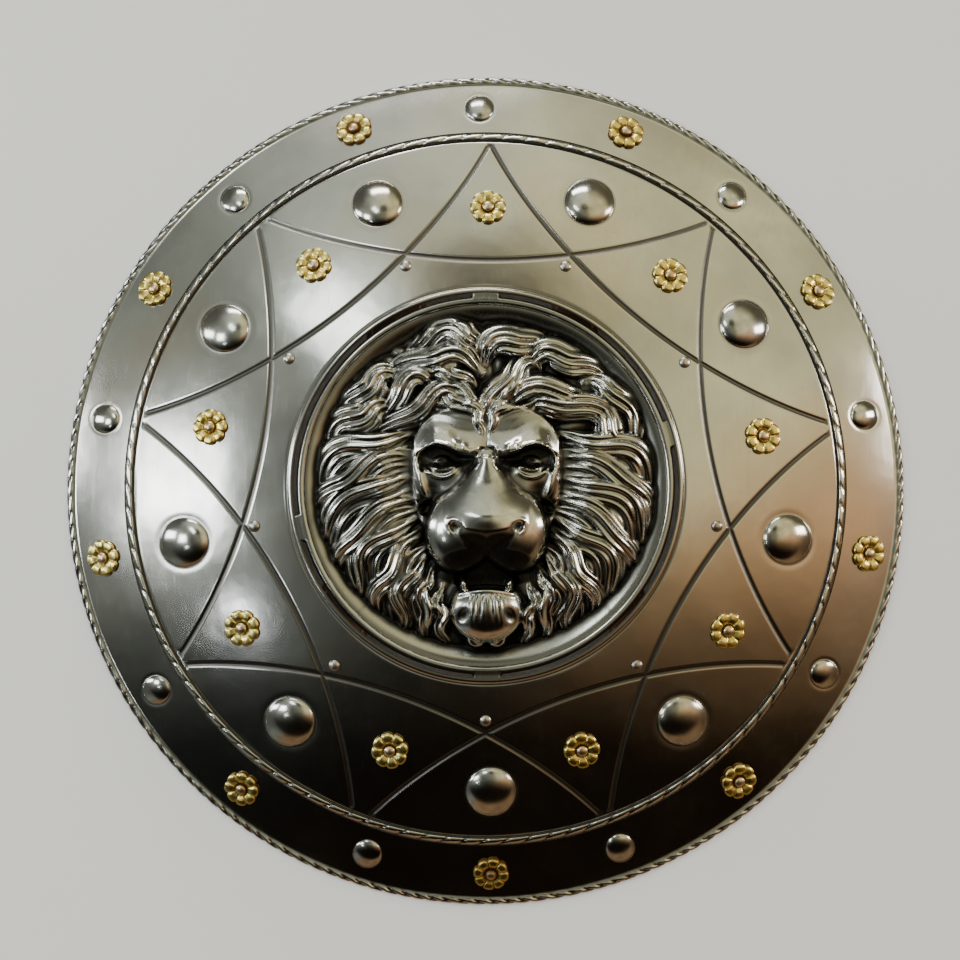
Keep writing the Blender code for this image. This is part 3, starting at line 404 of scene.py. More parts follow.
def waviness(x, y):
    """The sheet isn't quite true: slow waves of a fraction of a millimetre."""
    slow = np.sin(62 * x + 23 * y + 0.7) + np.sin(29 * x - 71 * y + 2.1) + 0.7 * np.sin(95 * x + 81 * y)
    return 0.00007 * slow


def front_height(x, y):
    r = np.hypot(x, y)
    z = front_dome(r) + lip_height(r) + waviness(x, y) - GROOVE_DEPTH * ease(1.5, 0.1, star_gap(x, y))
    for places, (_, radius, height), _ in BOSSES:
        z = z + raised_boss(boss_share(x, y, places, radius), height)
    return z


def back_height(x, y):
    r = np.hypot(x, y)
    return front_height(x, y) - SHEET * DOME_RADIUS / np.sqrt(DOME_RADIUS**2 - r * r)


def plate_shade(x, y):
    """How much dirt and painted shade a place gets: in the pressed lines and round the foot of each boss."""
    foot = sum(0.55 * peak(boss_share(x, y, places, size[1]), 1.03, 0.05) for places, size, _ in BOSSES)
    return np.clip(ease(1.45, 0.85, star_gap(x, y)) + foot, 0, 1)


class Sheet:
    """Points and faces of a sheet, with how much dirt and painted shade each point has, or below 0 how much
    painted highlight.
    """

    def __init__(self):
        self.points, self.shades, self.faces = [], [], []

    def add(self, x, y, z, shade):
        """Adds points, squashed to the plate's outline, and returns their numbers."""
        first = len(self.points)
        sx, sy = squash(x, y)
        self.points += np.stack([sx, sy, np.broadcast_to(z, sx.shape)], 1).tolist()
        self.shades += np.broadcast_to(shade, sx.shape).tolist()
        return list(range(first, len(self.points)))

    def ring(self, radius, height, sides, shade):
        """A ring of points. Radius, height and shade may change round it."""
        return self.add(*circle(radius, sides), height, shade)

    def strip(self, inner, outer, flip=False):
        """Joins two rings of any counts that start at the same angle."""
        n, m = len(inner), len(outer)
        i = j = 0
        while i < n or j < m:
            a, b = inner[i % n], outer[j % m]
            if i < n and j < m and (i + 1) * m == (j + 1) * n:
                face = (a, b, outer[(j + 1) % m], inner[(i + 1) % n])
                i, j = i + 1, j + 1
            elif j == m or (i < n and (i + 1) * m < (j + 1) * n):
                face = (a, b, inner[(i + 1) % n])
                i += 1
            else:
                face = (a, b, outer[(j + 1) % m])
                j += 1
            self.faces.append(face[::-1] if flip else face)

    def join(self, rings, flip=False):
        for inner, outer in zip(rings[:-1], rings[1:]):
            self.strip(inner, outer, flip)


class Plan:
    """Loops, lines and loose points seen from above, to be triangulated."""

    def __init__(self):
        self.points, self.edges = [], []

    def scatter(self, x, y):
        first = len(self.points)
        self.points += [Vector(p) for p in zip(np.ravel(x).tolist(), np.ravel(y).tolist())]
        return list(range(first, len(self.points)))

    def line(self, x, y, closed=False):
        made = self.scatter(x, y)
        self.edges += list(zip(made[:-1], made[1:]))
        if closed:
            self.edges.append((made[-1], made[0]))
        return made

    def circle(self, radius, sides, centre=(0.0, 0.0)):
        x, y = circle(radius, sides)
        return self.line(x + centre[0], y + centre[1], closed=True)

    def lay(self, sheet, low, high, holes):
        """Adds this plan to the sheet's front and back. Returns where each point went on either face."""
        points, _, faces, sources, _, _ = delaunay_2d_cdt(self.points, self.edges, [], 0, 1e-7)
        flat = np.array(points)
        x, y = flat[:, 0], flat[:, 1]
        faces = np.array(faces)
        mid = flat[faces].mean(1)
        keep = (np.hypot(*mid.T) > low) & (np.hypot(*mid.T) < high)
        for cx, cy in holes:
            keep &= np.hypot(mid[:, 0] - cx, mid[:, 1] - cy) > HOLE_SHARE * HOLE_RADIUS
        shade = plate_shade(x, y)
        front = np.array(sheet.add(x, y, front_height(x, y), shade))
        back = np.array(sheet.add(x, y, back_height(x, y), 0.35 + 0.3 * shade))
        sheet.faces += front[faces[keep]].tolist() + back[faces[keep][:, ::-1]].tolist()
        place = {source: i for i, found in enumerate(sources) for source in found}
        return lambda ids: ([int(front[place[i]]) for i in ids], [int(back[place[i]]) for i in ids])


def scatter_rings(plan, low, high, step, places):
    """Loose points over a band of the plate, clear of the star's lines and of the places' discs."""
    for radius in np.arange(low, high, step):
        count = int(math.tau * radius / step)
        x, y = at(radius, (np.arange(count) + 0.5 * (int(radius / step) % 2)) * math.tau / count)
        clear = star_gap(x, y) > 2.2 + 0.35 * step / GROOVE_HALF_WIDTH
        for (cx, cy), size in places:
            clear &= np.hypot(x - cx, y - cy) > size + 0.3 * step
        plan.scatter(x[clear], y[clear])


def plan_bosses(plan, places, radius, sides):
    for cx, cy in places:
        plan.circle(radius, sides, (cx, cy))
        for share in BOSS_RINGS:
            x, y = circle(share * radius, sides)
            plan.scatter(x + cx, y + cy)


def plan_star(plan):
    """Each pressed line as its bottom and the lines on either side of it."""
    turns = np.linspace(-STAR_ARC_SPAN / 2, STAR_ARC_SPAN / 2, STAR_ARC_STATIONS)
    for cx, cy in STAR_ARCS:
        axis = math.atan2(cy, cx)
        for offset in GROOVE_LINES:
            x, y = at(STAR_ARC_RADIUS + offset * GROOVE_HALF_WIDTH, axis + turns)
            inside = np.hypot(cx - x, cy - y) < FIELD_TO - 1.25 * SUPPORT
            plan.line((cx - x)[inside], (cy - y)[inside])


def zone(sheet, inner, outer, bosses, holes, star=False):
    """A zone of the plate between two edges. Returns the front and back ring of its inner and outer edge."""
    (low, low_sides), (high, high_sides) = inner, outer
    places, (_, boss_radius, _), boss_sides = bosses
    plan = Plan()
    edges = [plan.circle(low, low_sides), plan.circle(high, high_sides)]
    plan.circle(low + SUPPORT, low_sides)
    plan.circle(high - SUPPORT, high_sides)
    if star:
        plan_star(plan)
    plan_bosses(plan, places, boss_radius, boss_sides)
    walls = [plan.circle(HOLE_RADIUS, HOLE_SIDES, hole) for hole in holes]
    taken = [(c, BOSS_RINGS[-1] * boss_radius) for c in places] + [(c, HOLE_RADIUS) for c in holes]
    scatter_rings(plan, low + 0.0035, high - 0.002, PLAN_STEP, taken)
    on = plan.lay(sheet, low, high, holes)
    for ids in walls:
        sheet.strip(*on(ids), flip=True)
    return [on(ids) for ids in edges]


def rope_rings(sheet):
    """Rings of the bead inside the rim band, which is cut aslant all round like a rope."""
    sides = CUT_SIDES * ROPE_TURNS
    turn = np.arange(sides) / sides
    uneven = 0.10 * np.sin(math.tau * 7 * turn) + 0.07 * np.sin(math.tau * 23 * turn)
    rings = []
    for r in np.linspace(FIELD_TO, BAND_FROM, 19)[1:-1]:
        across = (r - RING_AT) / BEAD_HALF_WIDTH
        bead = arch(across)
        phase = (ROPE_TURNS * turn + 0.26 * across + uneven) % 1.0
        cut = peak(np.minimum(phase, 1 - phase), 0, 0.075)
        swell = 1 - 0.16 * (2 * phase - 1) ** 2 - 0.50 * cut
        grooves = sum(depth * peak(r, place, width) for place, width, depth in BEAD_GROOVES)
        dirt_and_painted_light = sum(share * peak(r, place, width) for place, width, share in BEAD_DIRT_AND_SHADE)
        # Dirt and painted shade in the grooves, in the cuts and on the bead's flanks, then a painted
        # highlight on the bead's crest between the cuts
        shade = np.clip(dirt_and_painted_light + (1.1 * cut + 0.25 * across * across) * (bead > 0), 0, 1)
        shade = shade - 0.8 * (1 - cut) * max(0.0, 1 - 1.6 * across**2)
        rings.append(sheet.ring(r, front_dome(r) + BEAD_HEIGHT * bead * swell - grooves, sides, shade))
    return rings


def edge_rings(sheet):
    """Rings of the edge, rolled over a wire, with slanting file cuts across its outer half."""
    sides = CUT_SIDES * EDGE_CUTS
    turn = np.arange(sides) / sides
    uneven = 0.14 * np.sin(math.tau * 11 * turn) + 0.10 * np.sin(math.tau * 29 * turn)
    deep = 1 + 0.25 * np.sin(math.tau * 17 * turn + 1) + 0.15 * np.sin(math.tau * 47 * turn)
    rings = []
    for angle in np.radians(EDGE_ANGLES):
        phase = (EDGE_CUTS * turn + 0.42 * angle + uneven) % 1.0
        gap = np.minimum(phase / 0.72, (1 - phase) / 0.28)
        cut = np.clip(1 - gap / 0.62, 0, 1) ** 0.8 * ease(1.95, 1.45, angle) * ease(-1.2, -0.5, angle) * deep
        radius = ROLL_RADIUS * (1 - 0.34 * cut)
        height = np.maximum(ROLL_RADIUS + radius * math.sin(angle), 0.0)
        # Dirt and painted shade in the file cuts, and a painted highlight on the outer roll between them
        shade = np.clip(cut, 0, 1) - 0.8 * np.clip(1 - 1.5 * cut, 0, 1) * ease(2.0, 1.7, angle)
        rings.append(sheet.ring(ROLL_CENTRE + radius * math.cos(angle), height, sides, shade))
    return rings


def plate_mesh():
    """The whole plate as one closed sheet."""
    sheet = Sheet()
    inner, outer = (FIELD_FROM, INNER_SIDES), (FIELD_TO, MIDDLE_SIDES)
    opening, field = zone(sheet, inner, outer, BOSSES[0], STAR_ROSETTES + PLATE_RIVETS, star=True)
    inner, outer = (BAND_FROM, MIDDLE_SIDES), (BAND_TO, RIM_SIDES)
    band, rim = zone(sheet, inner, outer, BOSSES[1], RIM_ROSETTES)
    lip = [sheet.ring(OPENING, back_dome(OPENING), INNER_SIDES, 0.4)]
    for r in LIP_RINGS:
        # Dirt and painted shade in the line beside the lip, and painted shade in the gap round the medallion
        shade = 0.9 * peak(r, LIP_DIRT_AND_SHADE, LIP_LINE_WIDTH) + ease(*LIP_SHADE, r)
        lip.append(sheet.ring(r, front_dome(r) + lip_height(r), INNER_SIDES, shade))
    sheet.strip(lip[0], opening[1], flip=True)
    sheet.join([*lip, opening[0]])
    sheet.join([field[0], *rope_rings(sheet), band[0]])
    behind = [sheet.ring(r, back_dome(r) + height, MIDDLE_SIDES, 0.5) for r, height in BEAD_BACK]
    sheet.join([field[1], *behind, band[1]], flip=True)
    sheet.join([rim[0], *edge_rings(sheet), rim[1]])
    return mesh_from("plate", sheet.points, sheet.faces, {"dirt_and_painted_light": sheet.shades})


def smooth(mesh, sharp):
    """Shades a mesh smooth but for the edges that bend by more than so many degrees."""
    mesh.shade_smooth()
    mesh.set_sharp_from_angle(angle=math.radians(sharp))
    return mesh


def mesh_from(name, points, faces, values, sharp=40.0):
    """A smooth mesh with a value at each point for every named attribute."""
    mesh = bpy.data.meshes.new(name)
    mesh.from_pydata(points, [], faces)
    for key, found in values.items():
        layer = mesh.attributes.new(key, "FLOAT", "POINT")
        layer.data.foreach_set("value", np.asarray(found, np.float32))
    mesh.update()
    return smooth(mesh, sharp)


# The lion's mask


def soft_max(a, b, blend):
    return 0.5 * (a + b + np.sqrt((a - b) ** 2 + blend * blend))


def through(value, curve):
    """A smooth curve through a few stations that doesn't overshoot them."""
    s, v = (np.asarray(row, float) for row in curve)
    run = np.diff(s)
    rise = np.diff(v) / run
    slope = np.zeros(len(s))
    slope[0], slope[-1] = rise[0], rise[-1]
    same = rise[:-1] * rise[1:] > 0
    slope[1:-1][same] = 2 * rise[:-1][same] * rise[1:][same] / (rise[:-1][same] + rise[1:][same])
    x = np.clip(value, s[0], s[-1])
    i = np.clip(np.searchsorted(s, x, side="right") - 1, 0, len(run) - 1)
    t = (x - s[i]) / run[i]
    start = (1 + 2 * t) * (1 - t) ** 2 * v[i] + t * (1 - t) ** 2 * run[i] * slope[i]
    return start + t * t * (3 - 2 * t) * v[i + 1] + t * t * (t - 1) * run[i] * slope[i + 1]


def turned(x, y, cx, cy, turn):
    c, s = math.cos(math.radians(turn)), math.sin(math.radians(turn))
    return (x - cx) * c + (y - cy) * s, (y - cy) * c - (x - cx) * s


def bump(x, y, cx, cy, sx, sy, turn=0.0):
    u, v = turned(x, y, cx, cy, turn)
    return np.exp(-((u / sx) ** 2) - (v / sy) ** 2)


def dome(x, y, cx, cy, rx, ry, turn=0.0, power=0.5):
    u, v = turned(x, y, cx, cy, turn)
    return np.clip(1 - (u / rx) ** 2 - (v / ry) ** 2, 0, 1) ** power


def medallion(r):
    """The rolled rim, and the cove that falls from it to the ground of the relief."""
    rim = RIM_HEIGHT * arch((r - RIM_CREST) / RIM_HALF_WIDTH)
    return rim - COVE_DEPTH * ease(COVE_TOP, COVE_FOOT, r)


def mane_mound(x, y):
    q = (x / MANE_RADII[0]) ** 2 + ((y - 0.5) / MANE_RADII[1]) ** 2
    return -9.0 + 18.0 * np.clip(1 - q**1.5, 0, 1) ** 0.55


def lock_path(lock):
    """A curve from the lock's root to its tip with a slight wave in it."""
    x0, y0, leave, x1, y1, arrive = lock[:6]
    reach = 0.42 * math.hypot(x1 - x0, y1 - y0)
    leave, arrive = math.radians(leave), math.radians(arrive)
    start, end = np.array((x0, y0), float), np.array((x1, y1), float)
    out = start + reach * np.array((math.cos(leave), math.sin(leave)))
    back = end - reach * np.array((math.cos(arrive), math.sin(arrive)))
    t = np.linspace(0, 1, LOCK_STATIONS)[:, None]
    path = (1 - t) ** 3 * start + 3 * t * (1 - t) ** 2 * out + 3 * t * t * (1 - t) * back + t**3 * end
    step = np.gradient(path, axis=0)
    step /= np.linalg.norm(step, axis=1)[:, None]
    phase = 0.37 * abs(x0) + 0.61 * y0
    size = LOCK_WAVE * min(1.0, reach / 25)
    wave = size * np.sin(2.7 * math.pi * t + phase) * np.sin(math.pi * t)
    return path + wave * np.stack([-step[:, 1], step[:, 0]], 1) * (1 if x0 > 0 else -1)


def along_path(x, y, path):
    """How far along the path each point lies, from 0 to 1, and how far to its left."""
    best = np.full(x.shape, np.inf)
    along = np.zeros(x.shape)
    across = np.zeros(x.shape)
    for i, ((ax, ay), (dx, dy)) in enumerate(zip(path[:-1], np.diff(path, axis=0))):
        t = np.clip(((x - ax) * dx + (y - ay) * dy) / (dx * dx + dy * dy), 0, 1)
        ex, ey = x - ax - t * dx, y - ay - t * dy
        gap = ex * ex + ey * ey
        closer = gap < best
        best = np.where(closer, gap, best)
        along = np.where(closer, (i + t) / (len(path) - 1), along)
        across = np.where(closer, np.copysign(np.sqrt(gap), dx * ey - dy * ex), across)
    return along, across


def lock_height(x, y, lock, ground):
    """One lock of hair on a ground: a round ridge that tapers to its tip, made of round strands."""
    width, height, strands = lock[6:9]
    along, across = along_path(x, y, lock_path(lock))
    taper = np.sqrt(np.clip(1 - np.clip((along - 0.55) / 0.45, 0, 1) ** 2.2, 0, 1))
    root = ease(0, 0.22, along)
    half = 0.5 * width * (0.62 + 0.38 * np.sin(math.pi * along**0.9)) * taper * (0.75 + 0.25 * root)
    u = across / np.maximum(half, 0.01)
    phase = 0.7 * lock[0] + 0.4 * lock[1]
    strand = strands * (0.5 * u + 0.5) + 0.3 * np.sin(2.2 * math.pi * along + phase)
    groove = (1 - np.sqrt(np.sin(math.pi * strand) ** 2 + 0.04)) * ease(0, 0.12, along)
    groove = groove * (1 - 0.5 * ease(0.8, 1, along))
    lift = height * (0.85 + 0.25 * np.sin(math.pi * along**0.8)) * (1 - 0.5 * ease(0.5, 1.0, along))
    lift = lift * (0.6 + 0.4 * root)
    body = ground + lift * arch(u, 0.46) - min(STRAND_DEPTH, 0.3 * height) * groove
    return np.where((np.abs(u) < 1) & (half > 0.05), body, -np.inf)


def mirrored(lock):
    x0, y0, leave, x1, y1, arrive = lock[:6]
    return (-x0, y0, 180 - leave, -x1, y1, 180 - arrive, *lock[6:])


def under_lock(upper, lower):
    """A shorter, lower lock that fills the gap between two neighbours."""
    x0, y0, leave, x1, y1, arrive, width, height, _ = ((a + b) / 2 for a, b in zip(upper, lower))
    return (x0 - 4, y0, leave, 0.97 * x1, 0.97 * y1, arrive, width, height - 3.5, 3)


def all_locks():
    under = [under_lock(a, b) for a, b in zip(SIDE_LOCKS[:-1], SIDE_LOCKS[1:])]
    sides = [both for lock in under + list(SIDE_LOCKS) for both in (lock, mirrored(lock))]
    return sides + list(LEFT_CROWN) + list(RIGHT_CROWN)


def laid_locks(x, y, z, locks, ground):
    """The height with the locks laid on a ground, the higher surface winning."""
    z = z.copy()
    for lock in locks:
        path, width = lock_path(lock), lock[6]
        low, high = path.min(0) - width, path.max(0) + width
        near = (x > low[0]) & (x < high[0]) & (y > low[1]) & (y < high[1])
        z[near] = np.maximum(z[near], lock_height(x[near], y[near], lock, ground[near]))
    return z


def mane(x, y):
    sweep = np.arctan2(np.hypot(x, 3.0) * np.sign(x + 0.01), y - 30) + 0.004 * y
    crown = np.abs(np.sin(22 * sweep + 0.03 * np.hypot(x, y))) * ease(20, 40, y)
    sides = np.abs(np.sin(20 * np.arctan2(y, x) + 0.05 * np.hypot(x, y))) * ease(40, 20, y)
    mound = mane_mound(x, y)
    return laid_locks(x, y, mound - 1.0 + 2.4 * crown + 1.2 * sides, all_locks(), mound - 4.5)


def face(x, y):
    """Forehead, brows, eyes and cheeks, the same on both sides."""
    z = 8 + 15 * dome(x, y, 0, 8, 66, 74, power=0.6)
    z = z + 1.6 * bump(x, y, 25, 40, 20, 15) - 1.5 * bump(x, y, 0, 46, 3.0, 24)
    low, high, step = (through(x, curve) for curve in (BROW_LOW, BROW_HIGH, BROW_STEP))
    t = np.clip((y - low) / (high - low), 0, 1)
    below = 1 - t
    z = z - 7.5 * ease(9.5, 17.0, y + 0.16 * (x - 31)) * below * ease(7, 12, x) * ease(50, 44, x)
    z = z - 4.0 * bump(x, y, 17, 13, 6, 5, turn=12) * below
    z = z + step * t**0.8 * (1 - 0.9 * ease(high, high + 17, y))
    z = z + 1.3 * peak(y, high + 0.6, 1.3) * ease(4, 9, x) * ease(49, 42, x)
    for cx, cy, size in ((21.5, 28.2, 3.2), (27.5, 25.6, 2.6), (15.5, 26.0, 2.6)):
        z = z + 1.8 * bump(x, y, cx, cy, size, 0.8 * size, turn=25)
    z = z + 4.0 * dome(x, y, *EYEBALL, power=0.6) * below
    for cx, cy, wide, tall, width, height in EYELIDS:
        lid = np.hypot((x - cx) / wide, (y - cy) / tall)
        z = z + height * peak(lid, 1.0, width) * ease(16.5, 12, y) * below
    iris = np.hypot(x - 31.8, y - 14.6)
    z = z - (1.2 * ease(3.6, 2.8, iris) + 1.4 * peak(iris, 0, 1.4)) * below
    z = z + 3.0 * peak(x, through(y, CHEEKBONE), 3.2) * ease(-13, -5, y) * ease(22, 14, y)
    return z - 4.0 * bump(x, y, 38, -8, 7, 7) - 13 * bump(x, y, 42.0, -17.0, 6.5, 4.0, turn=-12)


def muzzle(x, y):
    """The nose bridge, which widens downwards, and the two pads of the upper lip."""
    half = through(y, MUZZLE_HALF_WIDTH)
    u = np.clip(x / half, 0, 1.4)
    low = ease(-10, -26, y)
    bridge = through(y, MUZZLE_TOP) - through(y, MUZZLE_FALL) * u ** (2.3 + 0.7 * low)
    bridge = bridge - 18 * np.clip(u - 1, 0, 1)
    pads = 11 + 26.0 * dome(x, y, 20.0, -33.5, 24.5, 29.5, turn=-6, power=0.38)
    return soft_max(bridge, pads, 5.0) - 60 * ease(25, 33, y) - 50 * low * ease(half - 2, half + 6, x)


def nose(x, y):
    """What the nose's pad, wings and nostrils add to the muzzle."""
    top, bottom = -33.8 + 0.0105 * x * x, -46.4 + 0.55 * x
    t = np.clip((y - bottom) / np.maximum(top - bottom, 1.5), 0, 1)
    z = 8.0 * arch(x / 30.0, 1.1) * t**0.8 * ease(2, -24, y) + 1.6 * bump(x, y, 0, -25.5, 10, 6)
    u, v = turned(x, y, 22.0, -30.6, 40)
    ring = np.hypot(u / 5.6, v / 4.2)
    z = z + 1.0 * peak(ring, 1.05, 0.30) * ease(17, 24, x + 0.6 * (y + 30)) - 5.0 * peak(ring, 0, 0.72)
    return z - 3.5 * bump(x, y, 0, -50, 1.6, 5.5)


def lower_jaw(x, y):
    """The chin with its tuft, the lower lip and the two lower canines."""
    chin = dome(x, y, 0, -88.5, 26.5, 23.5, power=0.6)
    lip = y + 75.0 + 0.006 * x * x
    z = 6 + 19 * chin + 2.2 * peak(lip, 0, 1.7) * ease(24, 19, x) - 30 * ease(2.5, 5.5, lip)
    spread = x / (1.0 + 0.35 * np.clip(-76 - y, 0, 30) ** 0.5)
    tuft = np.abs(np.sin(0.33 * math.pi * spread + 0.6 + 0.02 * x * x)) - 0.4
    z = z + 1.5 * tuft * ease(-77, -80, y) * ease(-97, -87, y + 0.45 * x) * ease(15, 9, x)
    z = z - 4.0 * bump(x, y, 16.5, -93, 3.2, 4.5, turn=20)
    canine = dome(x, y, 16.2, -70.0, 3.0 - 0.22 * (y + 70), 6.0, turn=-6)
    return np.maximum(np.where(chin > 0, z, -50), np.where(canine > 0, 5 + 13 * canine, -50))


def beard_curl(x, y, z, cx, turn):
    """A small curl of the beard below the chin, laid on the height z."""
    u, v = x - cx, y - CURL_LOW
    d = np.hypot(u, v)
    spiral = np.cos(2 * turn * np.arctan2(v, u) - 1.2 * d)
    curl = 3 + 7 * arch(d / CURL_RADIUS) + 1.2 * spiral * ease(CURL_RADIUS, 5, d)
    return np.where(d < CURL_RADIUS, np.maximum(z, curl), z)


def lion(x, y):
    """Height of the whole relief above the medallion's plane, in millimetres."""
    r = np.hypot(x, y)
    z = medallion(r)
    hair = mane(x, y)
    z = np.where(hair > z, z + (hair - z) * ease(124.5, 119, r), z)
    side = np.sqrt((x - FACE_AXIS) ** 2 + 0.3)
    half, top = through(y, FACE_HALF_WIDTH), through(side, HAIRLINE)
    f = face(side, y) - 34 * ease(half - 2, half + 5, side) - 34 * ease(top - 1.5, top + 4, y)
    f = f - 40 * ease(-30, -40, y)
    f = laid_locks(x, y, f, FRINGE, np.maximum(f, mane_mound(x, y) + 6.0) - 2.0)
    f = soft_max(f, muzzle(side, y), 1.6) + nose(side, y)
    f = f - 2.2 * ease(18.5, 20, y) * ease(26.5, 24.5, y) * ease(6.8, 5.0, np.abs(x - 1.4))
    lip = -62.0 + 0.021 * (side - 22) ** 2
    f = f + (np.where(side < 34, 2.0, -60.0) - f) * ease(lip + 1.5, lip - 2.5, y)
    f = np.where(y < -78, np.minimum(f, -60), f)
    mouth = ease(1.12, 0.92, np.hypot(side / 21.5, (y + 66.5) / 11.5))
    z = z + (2.5 + 0.5 * (y + 66.5) - z) * mouth
    z = soft_max(z, np.maximum(f, lower_jaw(side, y)), 1.0 + 3.0 * ease(30, 45, y))
    for cx, turn in ((-7.0, 1), (7.0, -1)):
        z = beard_curl(x - FACE_AXIS, y, z, cx, turn)
    return RELIEF * z


def medallion_back(x, y):
    """The back follows the relief loosely, with a hollow behind the head."""
    r = np.hypot(x, y)
    cove = -COVE_DEPTH * ease(COVE_TOP, COVE_FOOT, r) - WALL / RELIEF
    hollow = HOLLOW_HEIGHT * arch(r / HOLLOW_RADIUS, 1)
    return RELIEF * (cove + hollow + HEAD_HOLLOW * bump(x, y, 0, 6, 42, 45))


def disc_grid(rings):
    """A square grid bent to a unit disc: its squares become circles, with the same spacing all over."""
    i, j = np.meshgrid(np.arange(-rings, rings + 1.0), np.arange(-rings, rings + 1.0), indexing="ij")
    wide = np.abs(i) >= np.abs(j)
    reach = np.where(wide, i, j)
    share = np.divide(np.where(wide, j, i), reach, out=np.zeros_like(i), where=reach != 0)
    angle = np.where(wide, share * math.pi / 4, math.pi / 2 - share * math.pi / 4)
    return np.abs(reach) / rings, angle + np.where(reach < 0, math.pi, 0.0)


def weld_tab(angle):
    """1 at the middle of each weld tab, falling to 0 at its sides."""
    off = np.min([np.abs(np.angle(np.exp(1j * (angle - a)))) for a in TAB_ANGLES], axis=0)
    return ease(TAB_HALF_WIDTH * 1.25, TAB_HALF_WIDTH * 0.85, off)


def blurred(values, size):
    """The grid's values averaged over a square window, three times."""
    for _ in range(3):
        for axis in (0, 1):
            padding = [(0, 0), (0, 0)]
            padding[axis] = (size + 1, size)
            total = np.cumsum(np.pad(values, padding, mode="edge"), axis=axis)
            high = np.take(total, range(2 * size + 1, total.shape[axis]), axis=axis)
            low = np.take(total, range(0, total.shape[axis] - 2 * size - 1), axis=axis)
            values = (high - low) / (2 * size + 1)
    return values


def boss_grid(rings):
    """Plan of a grid over the boss: x and y in millimetres, share of a weld tab, ring and angle."""
    share, angle = disc_grid(rings)
    tab = weld_tab(angle)
    radius = np.interp(share, GRID_SHARES, GRID_RADII)
    radius = radius + tab * (TAB_REACH - MEDALLION_RADIUS) * ease(RIM_CREST, MEDALLION_RADIUS, radius)
    return radius * np.cos(angle), radius * np.sin(angle), tab, share, np.mod(angle, math.tau)


def fine_relief(rings):
    """The relief on a grid, each point averaged with what lies half a step round it."""
    x, y = boss_grid(2 * rings)[:2]
    z = lion(x, y)
    for axis in (0, 1):
        z = (np.roll(z, 1, axis) + 2 * z + np.roll(z, -1, axis)) / 4
    return z[::2, ::2]


def grid_faces(numbers, x, y, z, keep):
    """Two triangles in each square of a grid, split along the much shorter or the flatter diagonal."""
    low, high = slice(None, -1), slice(1, None)
    corners = ((low, low), (high, low), (high, high), (low, high))
    kept = np.logical_and.reduce([keep[c] for c in corners])
    a, b, c, d = (numbers[corner][kept] for corner in corners)
    pa, pb, pc, pd = (np.stack([x, y, z])[(slice(None), *corner)][:, kept] for corner in corners)
    longer = np.hypot(*(pb - pd)[:2]) / np.maximum(np.hypot(*(pa - pc)[:2]), 1e-9)
    first = np.where(np.abs(np.log(longer)) > 0.3, longer > 1, np.abs((pa - pc)[2]) < np.abs((pb - pd)[2]))
    one = np.where(first, (a, b, c), (a, b, d))
    two = np.where(first, (a, c, d), (b, c, d))
    return np.concatenate([one.T, two.T])


def ring_numbers(numbers, share, angle, wanted, rings):
    """The numbers of a grid's points in one of its rings, in the order of their angles."""
    on = np.abs(share - wanted) < 0.3 / rings
    return numbers[on][np.argsort(np.round(angle[on], 6), kind="stable")].tolist()


def painted_shade_places(x, y):
    """Painted shade under the brows, muzzle and chin, in the nostrils and the mouth, and behind the cheeks.
    """
    side = np.abs(x - FACE_AXIS)
    return sum(share * dome(side, y, *place) for share, *place in PAINTED_SHADE_PLACES)


def boss_mesh():
    """The medallion as one closed shell: a fine front and a plainer back."""
    level = front_dome(OPENING) - MEDALLION_DROP * MM
    x, y, tab, share, angle = boss_grid(FRONT_RINGS)
    r = np.hypot(x, y)
    relief = np.where(share > FINE_SHARE, lion(x, y), fine_relief(FRONT_RINGS))
    tab = tab * ease(RIM_CREST - 2.0, RIM_CREST, r)
    relief = np.where(tab > 0, np.maximum(relief, TAB_HEIGHT * tab), relief)
    z = np.where(share > 1 - 0.5 / FRONT_RINGS, EDGE_LEVEL + 2.0 * tab, relief)
    # Painted shade, darkest in the relief's hollows, under the brows, muzzle and chin and in the gap round
    # the rim, and less on the weld tabs
    hollow = np.zeros(x.shape)
    for window, depth, weight in HOLLOWS:
        hollow = hollow + weight * np.clip((blurred(relief, window) - relief) / depth, -1, 1)
    hollow = (hollow + painted_shade_places(x, y) + 1.8 * ease(*RIM_SHADE, r)) * (1 - 0.85 * tab)
    numbers = np.arange(x.size).reshape(x.shape)
    points = np.stack([x * MM, y * MM, z * MM + level], -1).reshape(-1, 3)
    sheet = Sheet()
    sheet.faces = grid_faces(numbers, x, y, z, share < 2).tolist()
    edge = ring_numbers(numbers, share, angle, 1.0, FRONT_RINGS)
    x, y, _, share, angle = boss_grid(BACK_RINGS)
    low = medallion_back(x, y)
    numbers = len(points) + np.arange(x.size).reshape(x.shape)
    points = np.concatenate([points, np.stack([x * MM, y * MM, low * MM + level], -1).reshape(-1, 3)])
    hollows = np.append(hollow.ravel(), np.full(x.size, 0.3))
    inside = share < 1 - 0.5 / BACK_RINGS
    sheet.faces += grid_faces(numbers, x, y, low, inside)[:, ::-1].tolist()
    sheet.strip(ring_numbers(numbers, share, angle, 1 - 1 / BACK_RINGS, BACK_RINGS), edge, flip=True)
    used = np.unique(np.concatenate([np.ravel(face) for face in sheet.faces]))
    new = np.full(len(points), -1)
    new[used] = np.arange(len(used))
    faces = [new[np.array(face)].tolist() for face in sheet.faces]
    return mesh_from("lion_boss", points[used], faces, {"hollow": hollows[used]}, 60.0)


# Rosettes, rivets and stitches: one thing set on many places


def seat(x, y):
    """The place on the plate's front face above a plan point, with Z along the face's normal."""
    px, py = squash(x, y)
    normal = dome_normal(x, y)
    along = Vector((-y, x, 0.0)).normalized()
    turn = Matrix((along.cross(normal), along, normal)).transposed()
    return Matrix.Translation((px, py, front_dome(math.hypot(x, y)))) @ turn.to_4x4()


